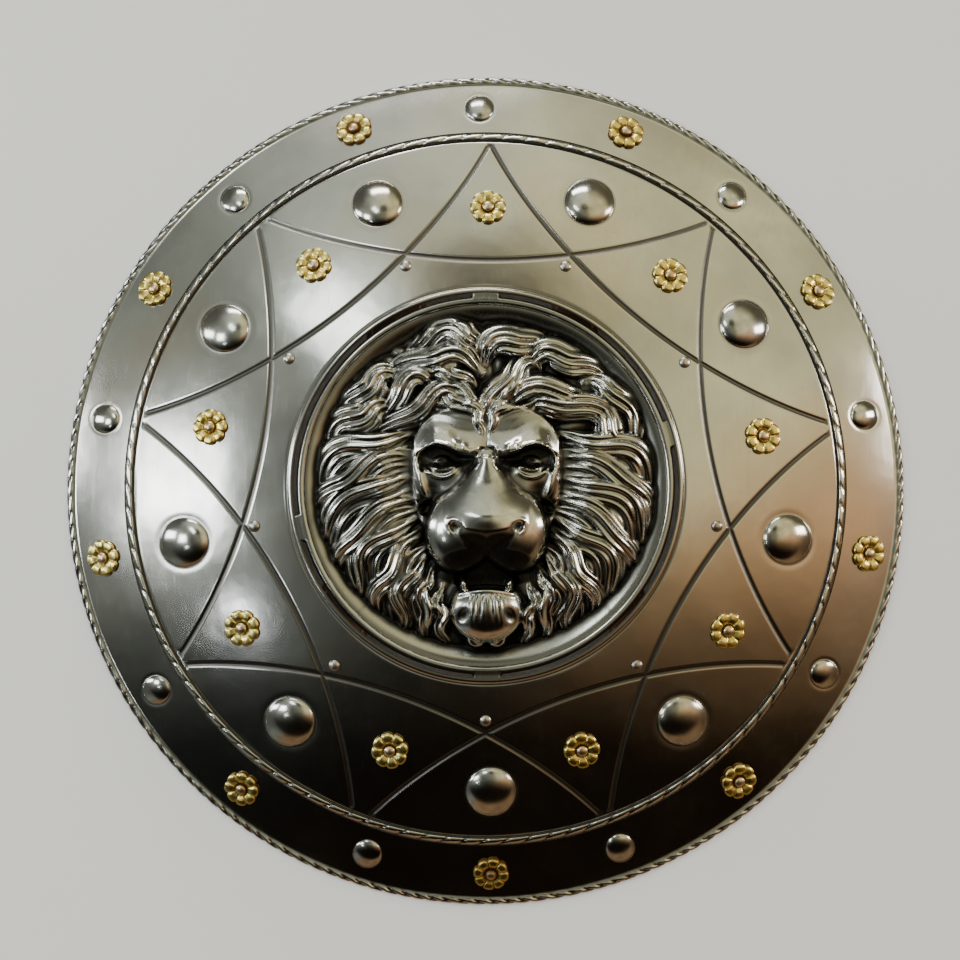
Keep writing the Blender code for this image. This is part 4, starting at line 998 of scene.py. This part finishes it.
def loft(name, rings, sharp, capped=False):
    """A closed shell through rings of points. Its end rings meet, shrink to a point or are capped."""
    count = len(rings[0])
    points = [point for ring in rings for point in ring]
    faces = []
    for k in range(0, len(points) - count, count):
        for i in range(count):
            j = (i + 1) % count
            faces.append((k + i, k + j, k + count + j, k + count + i))
    if capped:
        faces += [tuple(range(count))[::-1], tuple(range(len(points) - count, len(points)))]
    mesh = bpy.data.meshes.new(name)
    mesh.from_pydata(points, [], faces)
    bm = bmesh.new()
    bm.from_mesh(mesh)
    bmesh.ops.remove_doubles(bm, verts=bm.verts, dist=1e-6)
    bmesh.ops.recalc_face_normals(bm, faces=bm.faces)
    bm.to_mesh(mesh)
    bm.free()
    return smooth(mesh, sharp)


def turned_shell(name, profile, sides):
    """A closed shell from rings of (radius, height), whose first and last ring meet or shrink to a point."""
    rings = []
    for radius, height in profile:
        x, y = circle(radius, sides)
        rings.append(np.stack([x, y, np.broadcast_to(height, x.shape)], 1).tolist())
    return loft(name, rings, 50)


def rosette_mesh():
    """Eight round petals with a crease between each two, dished in the middle round the rivet's hole."""
    sides = 8 * PETALS
    petal = np.abs(np.cos(0.5 * PETALS * np.arange(sides) * math.tau / sides))
    edge = ROSETTE_RADIUS - 0.0015 * (1 - petal) ** 1.8
    crease = peak(petal, 0, 0.16)
    rings = [(HOLE_RADIUS, GAP), (HOLE_RADIUS, ROSETTE_DISH)]
    for share in np.linspace(0.18, 1.0, 15):
        radius = HOLE_RADIUS + (edge - HOLE_RADIUS) * share
        swell = arch((share - 0.60) / 0.44) if share > 0.2 else 0.0
        dish = ROSETTE_DISH + 0.0009 * ease(0.15, 0.6, share) - 0.0007 * ease(0.88, 1.0, share)
        rings.append((radius, dish + 0.0012 * swell * (0.70 + 0.30 * petal) - 0.0007 * crease * swell))
    rings += [(edge * 0.992, GAP + 0.0001), (edge * 0.96, GAP), (HOLE_RADIUS, GAP)]
    return turned_shell("rosette", rings, sides)


def rivet_mesh(name, under, grip):
    """A domed head a little above what it sits on, its shank, and the tail closed over behind."""
    under = under + GAP
    tail = -grip - BACK_CLEARANCE
    turns = np.linspace(0, math.pi / 2, 7)
    rim, dome_height = under + HEAD_RIM, HEAD_HEIGHT - HEAD_RIM
    rings = [(HEAD_RADIUS * math.sin(t), rim + dome_height * math.cos(t)) for t in turns]
    rings += [(HEAD_RADIUS, under + 0.0001), (HEAD_RADIUS * 0.97, under)]
    rings += [(SHANK_RADIUS, under), (SHANK_RADIUS, tail)]
    for share, fall in ((1, 0), (0.98, 0.3), (0.7, 0.8), (0, 1)):
        rings.append((TAIL_RADIUS * share, tail - fall * TAIL_HEIGHT))
    return turned_shell(name, rings, RIVET_SIDES)


def placing_tree():
    """Sets a thing on every point, turned as the point says, with a little chance in its turn and size."""
    tree = bpy.data.node_groups.new("things on places", "GeometryNodeTree")
    kinds = {
        "Places": "Geometry",
        "Thing": "Object",
        "Size spread": "Float",
        "Turn spread": "Float",
        "Seed": "Int",
        "Finish": "Material",
    }
    for name, kind in kinds.items():
        tree.interface.new_socket(name, in_out="INPUT", socket_type="NodeSocket" + kind)
    tree.interface.new_socket("Result", in_out="OUTPUT", socket_type="NodeSocketGeometry")
    start = Wire(tree)
    given = {name: start.node("NodeGroupInput", {}, {}, name) for name in kinds}
    number, chance = {"data_type": "FLOAT"}, []
    for k in range(3):
        spread = {2: -1.0, 3: 1.0, "Seed": given["Seed"] + k}
        chance.append(start.node("FunctionNodeRandomValue", number, spread, 1))
    vector = {"data_type": "FLOAT_VECTOR"}
    turn = start.node("GeometryNodeInputNamedAttribute", vector, {"Name": "turn"}, "Attribute")
    inputs = {"Object": given["Thing"], "As Instance": True}
    inputs = {"Instance": start.node("GeometryNodeObjectInfo", {}, inputs, "Geometry")}
    inputs["Points"] = given["Places"]
    inputs["Rotation"] = start.node("FunctionNodeEulerToRotation", {}, {0: turn})
    inputs["Scale"] = 1 + given["Size spread"] * chance[0]
    placed = start.node("GeometryNodeInstanceOnPoints", {}, inputs)
    spin = start.node("ShaderNodeCombineXYZ", {}, {2: given["Turn spread"] * chance[1]})
    inputs = {"Instances": placed, "Rotation": spin, "Local Space": True}
    placed = start.node("GeometryNodeRotateInstances", {}, inputs)
    inputs = {"Geometry": placed, "Name": "which", "Value": 0.5 + 0.5 * chance[2]}
    placed = start.node("GeometryNodeStoreNamedAttribute", {**number, "domain": "INSTANCE"}, inputs)
    real = start.node("GeometryNodeRealizeInstances", {}, {0: placed})
    done = start.node("GeometryNodeSetMaterial", {}, {"Geometry": real, "Material": given["Finish"]})
    start.node("NodeGroupOutput", {}, {0: done}, None)
    return tree


def put(name, data):
    """A new object in the scene."""
    obj = bpy.data.objects.new(name, data)
    bpy.context.scene.collection.objects.link(obj)
    return obj


def worked(obj, *helpers):
    """The object's mesh as its modifiers leave it. The object and its helpers go."""
    graph = bpy.context.evaluated_depsgraph_get()
    mesh = bpy.data.meshes.new_from_object(obj.evaluated_get(graph))
    for used in (obj, *helpers):
        bpy.data.objects.remove(used, do_unlink=True)
    return mesh


def set_on_places(name, thing, places, finish, tree, seed, size_spread=0.0, turn_spread=0.0):
    """A plain mesh with the thing at each place, which is a matrix."""
    mesh = bpy.data.meshes.new(name)
    mesh.from_pydata([place.translation for place in places], [], [])
    turn = mesh.attributes.new("turn", "FLOAT_VECTOR", "POINT")
    turn.data.foreach_set("vector", [v for place in places for v in place.to_euler()])
    pattern, holder = put(name + "_pattern", thing), put(name + "_places", mesh)
    placing = holder.modifiers.new("Placing", "NODES")
    placing.node_group = tree
    values = {
        "Thing": pattern,
        "Size spread": size_spread,
        "Turn spread": turn_spread,
        "Seed": seed,
        "Finish": finish,
    }
    for socket in tree.interface.items_tree:
        if socket.name in values:
            placing[socket.identifier] = values[socket.name]
    return worked(holder, pattern)


# Leather straps


def strap_frame(ends):
    """The strap's first rivet, the way it runs, the way across it, and its length between the rivets."""
    first, last = (Vector(PLATE_RIVETS[i - 1]) for i in ends)
    run = last - first
    along = run.normalized()
    return first, along, Vector((-along.y, along.x)), run.length


def strap_point(ends, t, side, depth):
    """A point of the strap: t from rivet to rivet, side from the middle, depth into the leather."""
    first, along, across, length = strap_frame(ends)
    p = first + along * (t * length) + across * side
    drop = STRAP_DROP * math.sin(math.pi * min(max(t, 0.0), 1.0)) ** 2
    return Vector((p.x, p.y, back_dome(p.length) - BACK_CLEARANCE - drop - depth))


def strap_mesh(name, ends, width):
    """A strap with rounded ends and eased edges, which hangs in an arch between its two rivets' holes."""
    length = strap_frame(ends)[3]
    reach = STRAP_OVERHANG / length
    section = [*STRAP_FACE, *((-side, 1 - depth) for side, depth in STRAP_FACE)]
    runs = ((-reach, 0, 8), (0, 1, 64), (1, 1 + reach, 8))
    stations = [start + (end - start) * i / count for start, end, count in runs for i in range(count)]
    rings = []
    for t in [*stations, 1 + reach]:
        short = max(0.0, STRAP_CORNER - min(t + reach, 1 + reach - t) * length)
        half = width / 2 - STRAP_CORNER + math.sqrt(max(0.0, STRAP_CORNER**2 - short**2))
        rings.append([strap_point(ends, t, half * side, depth * STRAP_THICKNESS) for side, depth in section])
    strap = put(name + "_blank", loft(name, rings, 45, capped=True))
    cutters = []
    for number in ends:
        rings = [(0.0, CUTTER), (HOLE_RADIUS, CUTTER), (HOLE_RADIUS, -CUTTER), (0.0, -CUTTER)]
        cutter = put("strap_hole", turned_shell("strap_hole", rings, 24))
        cutter.matrix_world = seat(*PLATE_RIVETS[number - 1])
        cut = strap.modifiers.new("Hole", "BOOLEAN")
        cut.object, cut.operation = cutter, "DIFFERENCE"
        cutters.append(cutter)
    return smooth(worked(strap, *cutters), 45)


def stitch_places(ends, width):
    """Places of the stitches along both edges of a strap, on its inner and outer face."""
    _, _, across, length = strap_frame(ends)
    places = []
    count = int(length / STITCH_STEP)
    for side in (-1, 1):
        row = side * (width / 2 - STITCH_INSET)
        for depth, face in ((0.0, 1), (STRAP_THICKNESS, -1)):
            over = Vector((*across, 0.0)) * face
            for t in (i / count for i in range(1, count)):
                here, ahead = (strap_point(ends, t + step, row, depth) for step in (0, 0.002))
                way = (ahead - here).normalized()
                up = way.cross(over).normalized() * face
                up = up if up.z * face > 0 else -up
                turn = Matrix((way, up.cross(way), up)).transposed()
                places.append(Matrix.Translation(here) @ turn.to_4x4())
    return places


def stitch_mesh():
    """One stitch: a short thread that bows out of the leather and dives in at both ends."""
    rings = []
    for t in np.linspace(0, math.pi, 7).tolist():
        x = -0.5 * STITCH_LENGTH * math.cos(t)
        thick = 0.5 * THREAD * (0.35 + 0.65 * math.sin(t))
        height = -0.0001 + 0.00035 * math.sin(t)
        rings.append([(x, across, height + 0.8 * up) for across, up in zip(*circle(thick, 6))])
    return loft("stitch", rings, 180, capped=True)


# Finishes


class Wire:
    """A value in a node tree. Arithmetic on it adds Math nodes."""

    def __init__(self, tree, socket=None):
        self.tree, self.socket = tree, socket

    def node(self, kind, settings, inputs, out=0):
        """Adds a node: its settings first, then the value or the link of each of its sockets."""
        made = self.tree.nodes.new(kind)
        for key, value in settings.items():
            setattr(made, key, value)
        for key, value in inputs.items():
            if isinstance(value, Wire):
                self.tree.links.new(value.socket, made.inputs[key])
            else:
                made.inputs[key].default_value = value
        return Wire(self.tree, None if out is None else made.outputs[out])

    def maths(self, operation, *values):
        return self.node("ShaderNodeMath", {"operation": operation}, dict(enumerate(values)))

    def __add__(self, other):
        return self.maths("ADD", self, other)

    def __sub__(self, other):
        return self.maths("SUBTRACT", self, other)

    def __rsub__(self, other):
        return self.maths("SUBTRACT", other, self)

    def __mul__(self, other):
        return self.maths("MULTIPLY", self, other)

    def __pow__(self, other):
        return self.maths("POWER", self, other)

    __radd__ = __add__
    __rmul__ = __mul__

    def clamped(self):
        return self.maths("MINIMUM", self.maths("MAXIMUM", self, 0.0), 1.0)

    def band(self, low, high, start=0.0, end=1.0):
        """Goes smoothly from start to end as the value goes from low to high."""
        inputs = {"Value": self, "From Min": low, "From Max": high, "To Min": start, "To Max": end}
        return self.node("ShaderNodeMapRange", {"interpolation_type": "SMOOTHSTEP"}, inputs)

    def carried(self, name):
        """The value that the mesh carries under this name."""
        return self.node("ShaderNodeAttribute", {"attribute_name": name}, {}, "Fac")

    def noise(self, where, scale, detail=3.0, roughness=0.55):
        inputs = {"Vector": where, "Scale": scale, "Detail": detail, "Roughness": roughness}
        return self.node("ShaderNodeTexNoise", {}, inputs)

    def stretched(self, where, scale, turn=0.0):
        """The coordinates drawn out along one way, for scratches and brush lines."""
        inputs = {"Vector": where, "Scale": scale, "Rotation": (0.0, 0.0, turn)}
        return self.node("ShaderNodeMapping", {}, inputs)

    def blend(self, share, *colours):
        """A colour that goes from the first to the second as share goes from 0 to 1."""
        first, second = (c if isinstance(c, Wire) else (*c, 1.0) for c in colours)
        return self.node("ShaderNodeMix", {"data_type": "RGBA"}, {0: share, 6: first, 7: second}, 2)


def begin(name):
    """A new finish: its node tree and the object's own coordinates."""
    finish = bpy.data.materials.new(name)
    finish.use_nodes = True
    finish.node_tree.nodes.clear()
    start = Wire(finish.node_tree)
    return finish, start, start.node("ShaderNodeTexCoord", {}, {}, "Object")


def end(start, colour, rough, metal, height=None, distance=0.0, strength=0.0):
    """The shader with this colour, roughness and share of metal, over a bump of this height."""
    values = {"Base Color": colour, "Roughness": rough, "Metallic": metal}
    if height is not None:
        bump_inputs = {"Height": height, "Distance": distance, "Strength": strength}
        values["Normal"] = start.node("ShaderNodeBump", {}, bump_inputs)
    shader = start.node("ShaderNodeBsdfPrincipled", {}, values)
    start.node("ShaderNodeOutputMaterial", {}, {"Surface": shader}, None)


def scratches(start, where, turns, scale):
    """Fine straight scratches that run several ways. 1 in a scratch, 0 beside it."""
    total = None
    for i, turn in enumerate(turns):
        drawn = start.stretched(where, (scale, scale * 0.02, scale), turn)
        line = start.noise(drawn, 1.0, 2.0, 0.4).band(0.60 + 0.02 * i, 0.74)
        total = line if total is None else total + line
    return total.clamped()


def plate_steel():
    """Polished sheet with stains, hammer marks and scratches, dark with dirt and painted shade in the cuts,
    the lines and round the bosses, and with a painted highlight on the ridges of the edge and the rope.
    """
    finish, start, where = begin("polished_plate_steel")
    dirt_and_painted_light = start.carried("dirt_and_painted_light")
    stain = start.noise(where, 9.0, 5.0, 0.62).band(0.40, 0.68)
    cloud = start.noise(where, 28.0, 4.0, 0.6)
    speck = start.noise(where, 260.0, 2.0, 0.6).band(0.70, 0.80)
    fine = scratches(start, where, (0.3, 1.2, 2.4), 420.0)
    warm = start.noise(where, 6.5).band(0.50, 0.66)
    cool = start.noise(where, 8.0).band(0.46, 0.34)
    colour = start.blend(stain, (0.66, 0.655, 0.63), (0.54, 0.53, 0.505))
    for share, tint in (
        (cloud.band(0.35, 0.75) * 0.35, (0.70, 0.695, 0.67)),
        (warm * 0.55, (0.62, 0.54, 0.43)),
        (cool * 0.45, (0.50, 0.485, 0.53)),
        ((speck * 0.2 + fine * 0.03).clamped(), (0.25, 0.235, 0.21)),
        # Painted highlight on the ridges of the edge and the rope, then dirt and painted shade in the cuts,
        # the lines and round the bosses
        ((dirt_and_painted_light * -1.0).clamped(), (0.92, 0.91, 0.88)),
        (dirt_and_painted_light.band(0.1, 0.95) * 0.85, (0.055, 0.05, 0.045)),
    ):
        colour = start.blend(share, colour, tint)
    rough = 0.12 + 0.06 * stain + 0.06 * cloud + 0.03 * fine + 0.22 * dirt_and_painted_light.clamped() + 0.08 * speck
    hammer = start.noise(where, 30.0, 2.0, 0.5)
    height = hammer * 0.7 + start.noise(where, 11.0, 2.0, 0.5) * 1.2 - fine * 0.006
    end(start, colour, rough.clamped(), 1.0, height, 0.0008, 0.45)
    return finish


def boss_steel():
    """Cast and polished steel, with painted shade that makes the hollows of the relief nearly black."""
    finish, start, where = begin("chased_boss_steel")
    hollow = start.carried("hollow")
    grain = start.noise(where, 95.0, 4.0, 0.6)
    cloud = start.noise(where, 22.0, 3.0, 0.6)
    deep = (hollow + (cloud - 0.5) * 0.25).band(0.05, 1.0)
    worn = (hollow * -1.0 + (grain - 0.5) * 0.3).band(0.05, 0.75)
    fine = scratches(start, where, (0.7, 2.1), 520.0)
    colour = start.blend(worn, (0.46, 0.455, 0.43), (0.74, 0.735, 0.71))
    # Painted shade: where the mesh carries hollows and shaded places the steel goes nearly black
    colour = start.blend(deep, colour, (0.035, 0.034, 0.030))
    colour = start.blend(fine * 0.12, colour, (0.20, 0.19, 0.18))
    rough = (0.16 + 0.08 * cloud + 0.28 * deep - 0.04 * worn + 0.05 * fine).clamped()
    height = grain * 0.20 + start.noise(where, 420.0, 2.0, 0.6) * 0.02 - fine * 0.010
    end(start, colour, rough, 1.0, height, 0.0006, 0.25)
    return finish


def small_metal(name, light, dark, deep, roughness):
    """Finish of a small part: lighter where it is rubbed, with painted shadow where it sits low by the plate.
    """
    finish, start, where = begin(name)
    which, low = start.carried("which"), start.carried("low")
    patch = start.noise(where, 260.0, 4.0, 0.65)
    fine = scratches(start, where, (0.5, 1.9), 900.0)
    colour = start.blend((patch + (which - 0.5) * 0.6).band(0.25, 0.85), light, dark)
    # Painted shadow at the foot of the part, where it lies low by the plate
    colour = start.blend(low.band(0.15, 0.9), colour, deep)
    colour = start.blend(fine * 0.2, colour, deep)
    rough = (roughness + 0.12 * patch + 0.30 * low + 0.08 * fine).clamped()
    height = patch * 0.4 - fine * 0.12 + start.noise(where, 900.0, 2.0, 0.5) * 0.15
    end(start, colour, rough, 1.0, height, 0.0003, 0.6)
    return finish


def strap_leather():
    """Oiled leather: a cracked grain, rubbed lighter in patches."""
    finish, start, where = begin("worn_strap_leather")
    cells = {"Vector": where, "Scale": 620.0, "Randomness": 0.9}
    grain = start.node("ShaderNodeTexVoronoi", {"feature": "DISTANCE_TO_EDGE"}, cells)
    pits = start.noise(where, 1500.0, 3.0, 0.6)
    rubbed = start.noise(where, 38.0, 5.0, 0.65)
    crease = start.noise(start.stretched(where, (30.0, 220.0, 220.0), 1.2), 1.0, 3.0, 0.6)
    colour = start.blend(rubbed.band(0.35, 0.7), (0.050, 0.024, 0.012), (0.125, 0.062, 0.030))
    colour = start.blend(grain.band(0.12, 0.0) * 0.7, colour, (0.018, 0.009, 0.006))
    rough = (0.46 + 0.22 * rubbed + 0.10 * pits).clamped()
    height = grain.band(0.0, 0.22) * 0.6 + pits * 0.15 + crease * 0.5
    end(start, colour, rough, 0.0, height, 0.0005, 0.7)
    return finish


def thread():
    """Waxed linen thread."""
    finish, start, where = begin("waxed_thread")
    twist = start.noise(where, 2400.0, 2.0, 0.5)
    colour = start.blend(twist.band(0.3, 0.7), (0.33, 0.26, 0.17), (0.17, 0.13, 0.085))
    end(start, colour, 0.7, 0.0, twist, 0.0002, 0.6)
    return finish


def pale_floor():
    finish, start, where = begin("pale_floor")
    cloud = start.noise(where, 3.0, 3.0, 0.5)
    end(start, start.blend(cloud, (0.70, 0.70, 0.69), (0.74, 0.74, 0.73)), 0.85, 0.0)
    return finish


# The scene


def add(name, mesh, finish, replaced):
    """A finished piece of the shield that stands for the named nodes."""
    mesh.materials.clear()
    mesh.materials.append(finish)
    mesh.name = name
    obj = put(name, mesh)
    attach(obj, "root")
    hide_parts(*replaced)


def mark_low(mesh, low, high):
    """Marks how low each point lies above the plate, for the painted shadow and the rougher finish at the
    part's foot.
    """
    flat = np.empty(len(mesh.vertices) * 3)
    mesh.vertices.foreach_get("co", flat)
    x, y, z = flat.reshape(-1, 3).T
    above = (z - front_dome(np.hypot(x, y))) * np.sqrt(1 - (x * x + y * y) / DOME_RADIUS**2)
    layer = mesh.attributes.get("low") or mesh.attributes.new("low", "FLOAT", "POINT")
    layer.data.foreach_set("value", ease(high, low, above).astype(np.float32))


def floor():
    mesh = bpy.data.meshes.new("floor")
    corners = [(-1, -1), (1, -1), (1, 1), (-1, 1)]
    mesh.from_pydata([(x * FLOOR_REACH, y * FLOOR_REACH, 0) for x, y in corners], [], [(0, 1, 2, 3)])
    mesh.materials.append(pale_floor())
    obj = put("floor", mesh)
    obj.visible_glossy = False


def camera():
    data = bpy.data.cameras.new("camera")
    data.sensor_width = CAMERA_SENSOR
    data.lens = CAMERA_LENS
    data.clip_end = CAMERA_REACH
    obj = put("camera", data)
    height = math.radians(CAMERA_ELEVATION)
    look = Vector((0.0, math.cos(height), -math.sin(height)))
    obj.location = Vector((*CAMERA_TARGET, 0.0)) - look * CAMERA_DISTANCE
    obj.rotation_euler = look.to_track_quat("-Z", "Y").to_euler()
    bpy.context.scene.camera = obj


def light(name, place, target, size, power, colour):
    data = bpy.data.lights.new(name, "AREA")
    data.shape = "RECTANGLE"
    data.size, data.size_y = size
    data.energy, data.color = power, colour
    obj = put(name, data)
    obj.location = place
    obj.rotation_euler = (Vector(target) - Vector(place)).to_track_quat("-Z", "Y").to_euler()
    return obj


def studio():
    """Windows and lamps, a room that is dark on the near side, and a light for the floor."""
    for row in LIGHTS:
        light(*row)
    overhead = light("overhead", (0, 0, 3.2), (0, 0, 0), (3.0, 3.0), FLOOR_LIGHT, (1, 1, 1))
    overhead.visible_glossy = False
    world = bpy.data.worlds.new("studio")
    bpy.context.scene.world = world
    world.use_nodes = True
    world.node_tree.nodes.clear()
    start = Wire(world.node_tree)
    way = start.node("ShaderNodeTexCoord", {}, {}, "Generated")
    east, north, up = (start.node("ShaderNodeSeparateXYZ", {}, {0: way}, k) for k in range(3))
    bright = north.band(-0.68, 0.10) ** 1.6 * up.band(0.10, 0.52)
    shade = 1 - 0.58 * (east + 0.45 * north).band(0.10, -0.45)
    shade = shade * (1 + 0.22 * (east + north).band(0.45, 1.0))
    overhead_dark = up.band(0.78, 0.93) * east.band(0.45, 0.10)
    doorway = (0.02 * east + 0.50 * north + 0.866 * up).band(0.970, 0.996)
    low = (0.14 + 0.16 * north.band(-0.30, -0.80)) * up.band(0.34, 0.14)
    bright = bright * shade * (1 - 0.66 * overhead_dark) * (1 - 0.85 * doorway) + low
    bright = bright * (0.74 + 0.52 * start.noise(way, 3.2, 3.0, 0.6).band(0.32, 0.68))
    side = start.blend(east.band(-0.5, 0.5), (0.84, 0.90, 0.76), (1.0, 0.93, 0.53))
    tint = start.blend((east * 0.7 - north).band(0.15, 0.65), side, (1.0, 0.62, 0.32))
    sky = start.node("ShaderNodeBackground", {}, {"Color": tint, "Strength": bright * 0.80 + 0.006})
    start.node("ShaderNodeOutputWorld", {}, {"Surface": sky}, None)


def numbered(name):
    return [f"{name}_{i}" for i in range(1, POINTS + 1)]


def main():
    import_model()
    bpy.context.view_layer.update()
    steel, chased, leather = plate_steel(), boss_steel(), strap_leather()
    brass, warm_steel, rivet_steel = (small_metal(*row) for row in SMALL_METALS)
    add("plate", plate_mesh(), steel, ["shield_plate"])
    add("lion_mask", boss_mesh(), chased, ["lion_boss"])
    tree = placing_tree()
    rosette, rosette_rivet = rosette_mesh(), rivet_mesh("rosette_rivet", ROSETTE_SEAT, SHEET)
    for row, places, seed in (("rim", RIM_ROSETTES, 3), ("star", STAR_ROSETTES, 8)):
        seats = [seat(*place) for place in places]
        petals = set_on_places(f"{row}_rosettes", rosette, seats, brass, tree, seed, 0.02, 0.30)
        mark_low(petals, *ROSETTE_SHADOW)
        add(f"{row}_rosettes", petals, brass, numbered(f"rosette_{row}"))
        name = f"{row}_rosette_rivets"
        heads = set_on_places(name, rosette_rivet, seats, warm_steel, tree, seed + 20, 0.0, RIVET_TURN)
        mark_low(heads, *ROSETTE_RIVET_SHADOW)
        add(name, heads, warm_steel, numbered(f"rosette_{row}_rivet"))
    strapped = set(ARM_STRAP[:2] + HAND_GRIP[:2])
    for name, long in (("plate_rivets", False), ("strap_rivets", True)):
        chosen = [i for i in range(1, POINTS + 1) if (i in strapped) == long]
        grip = SHEET + (BACK_CLEARANCE + STRAP_THICKNESS if long else 0.0)
        seats = [seat(*PLATE_RIVETS[i - 1]) for i in chosen]
        rivet = rivet_mesh(name, 0.0, grip)
        heads = set_on_places(name, rivet, seats, rivet_steel, tree, 40 + long, 0.0, RIVET_TURN)
        mark_low(heads, *RIVET_SHADOW)
        add(name, heads, rivet_steel, [f"plate_rivet_{i}" for i in chosen])
    linen, stitch = thread(), stitch_mesh()
    for name, (*ends, width) in (("arm_strap", ARM_STRAP), ("hand_grip", HAND_GRIP)):
        add(f"{name}_leather", strap_mesh(name, ends, width), leather, [name])
        places = stitch_places(ends, width)
        sewn = set_on_places(f"{name}_stitches", stitch, places, linen, tree, 60, 0.06, 0.08)
        add(f"{name}_stitches", sewn, linen, [])
    floor()
    camera()
    studio()
    bpy.context.view_layer.update()


main()
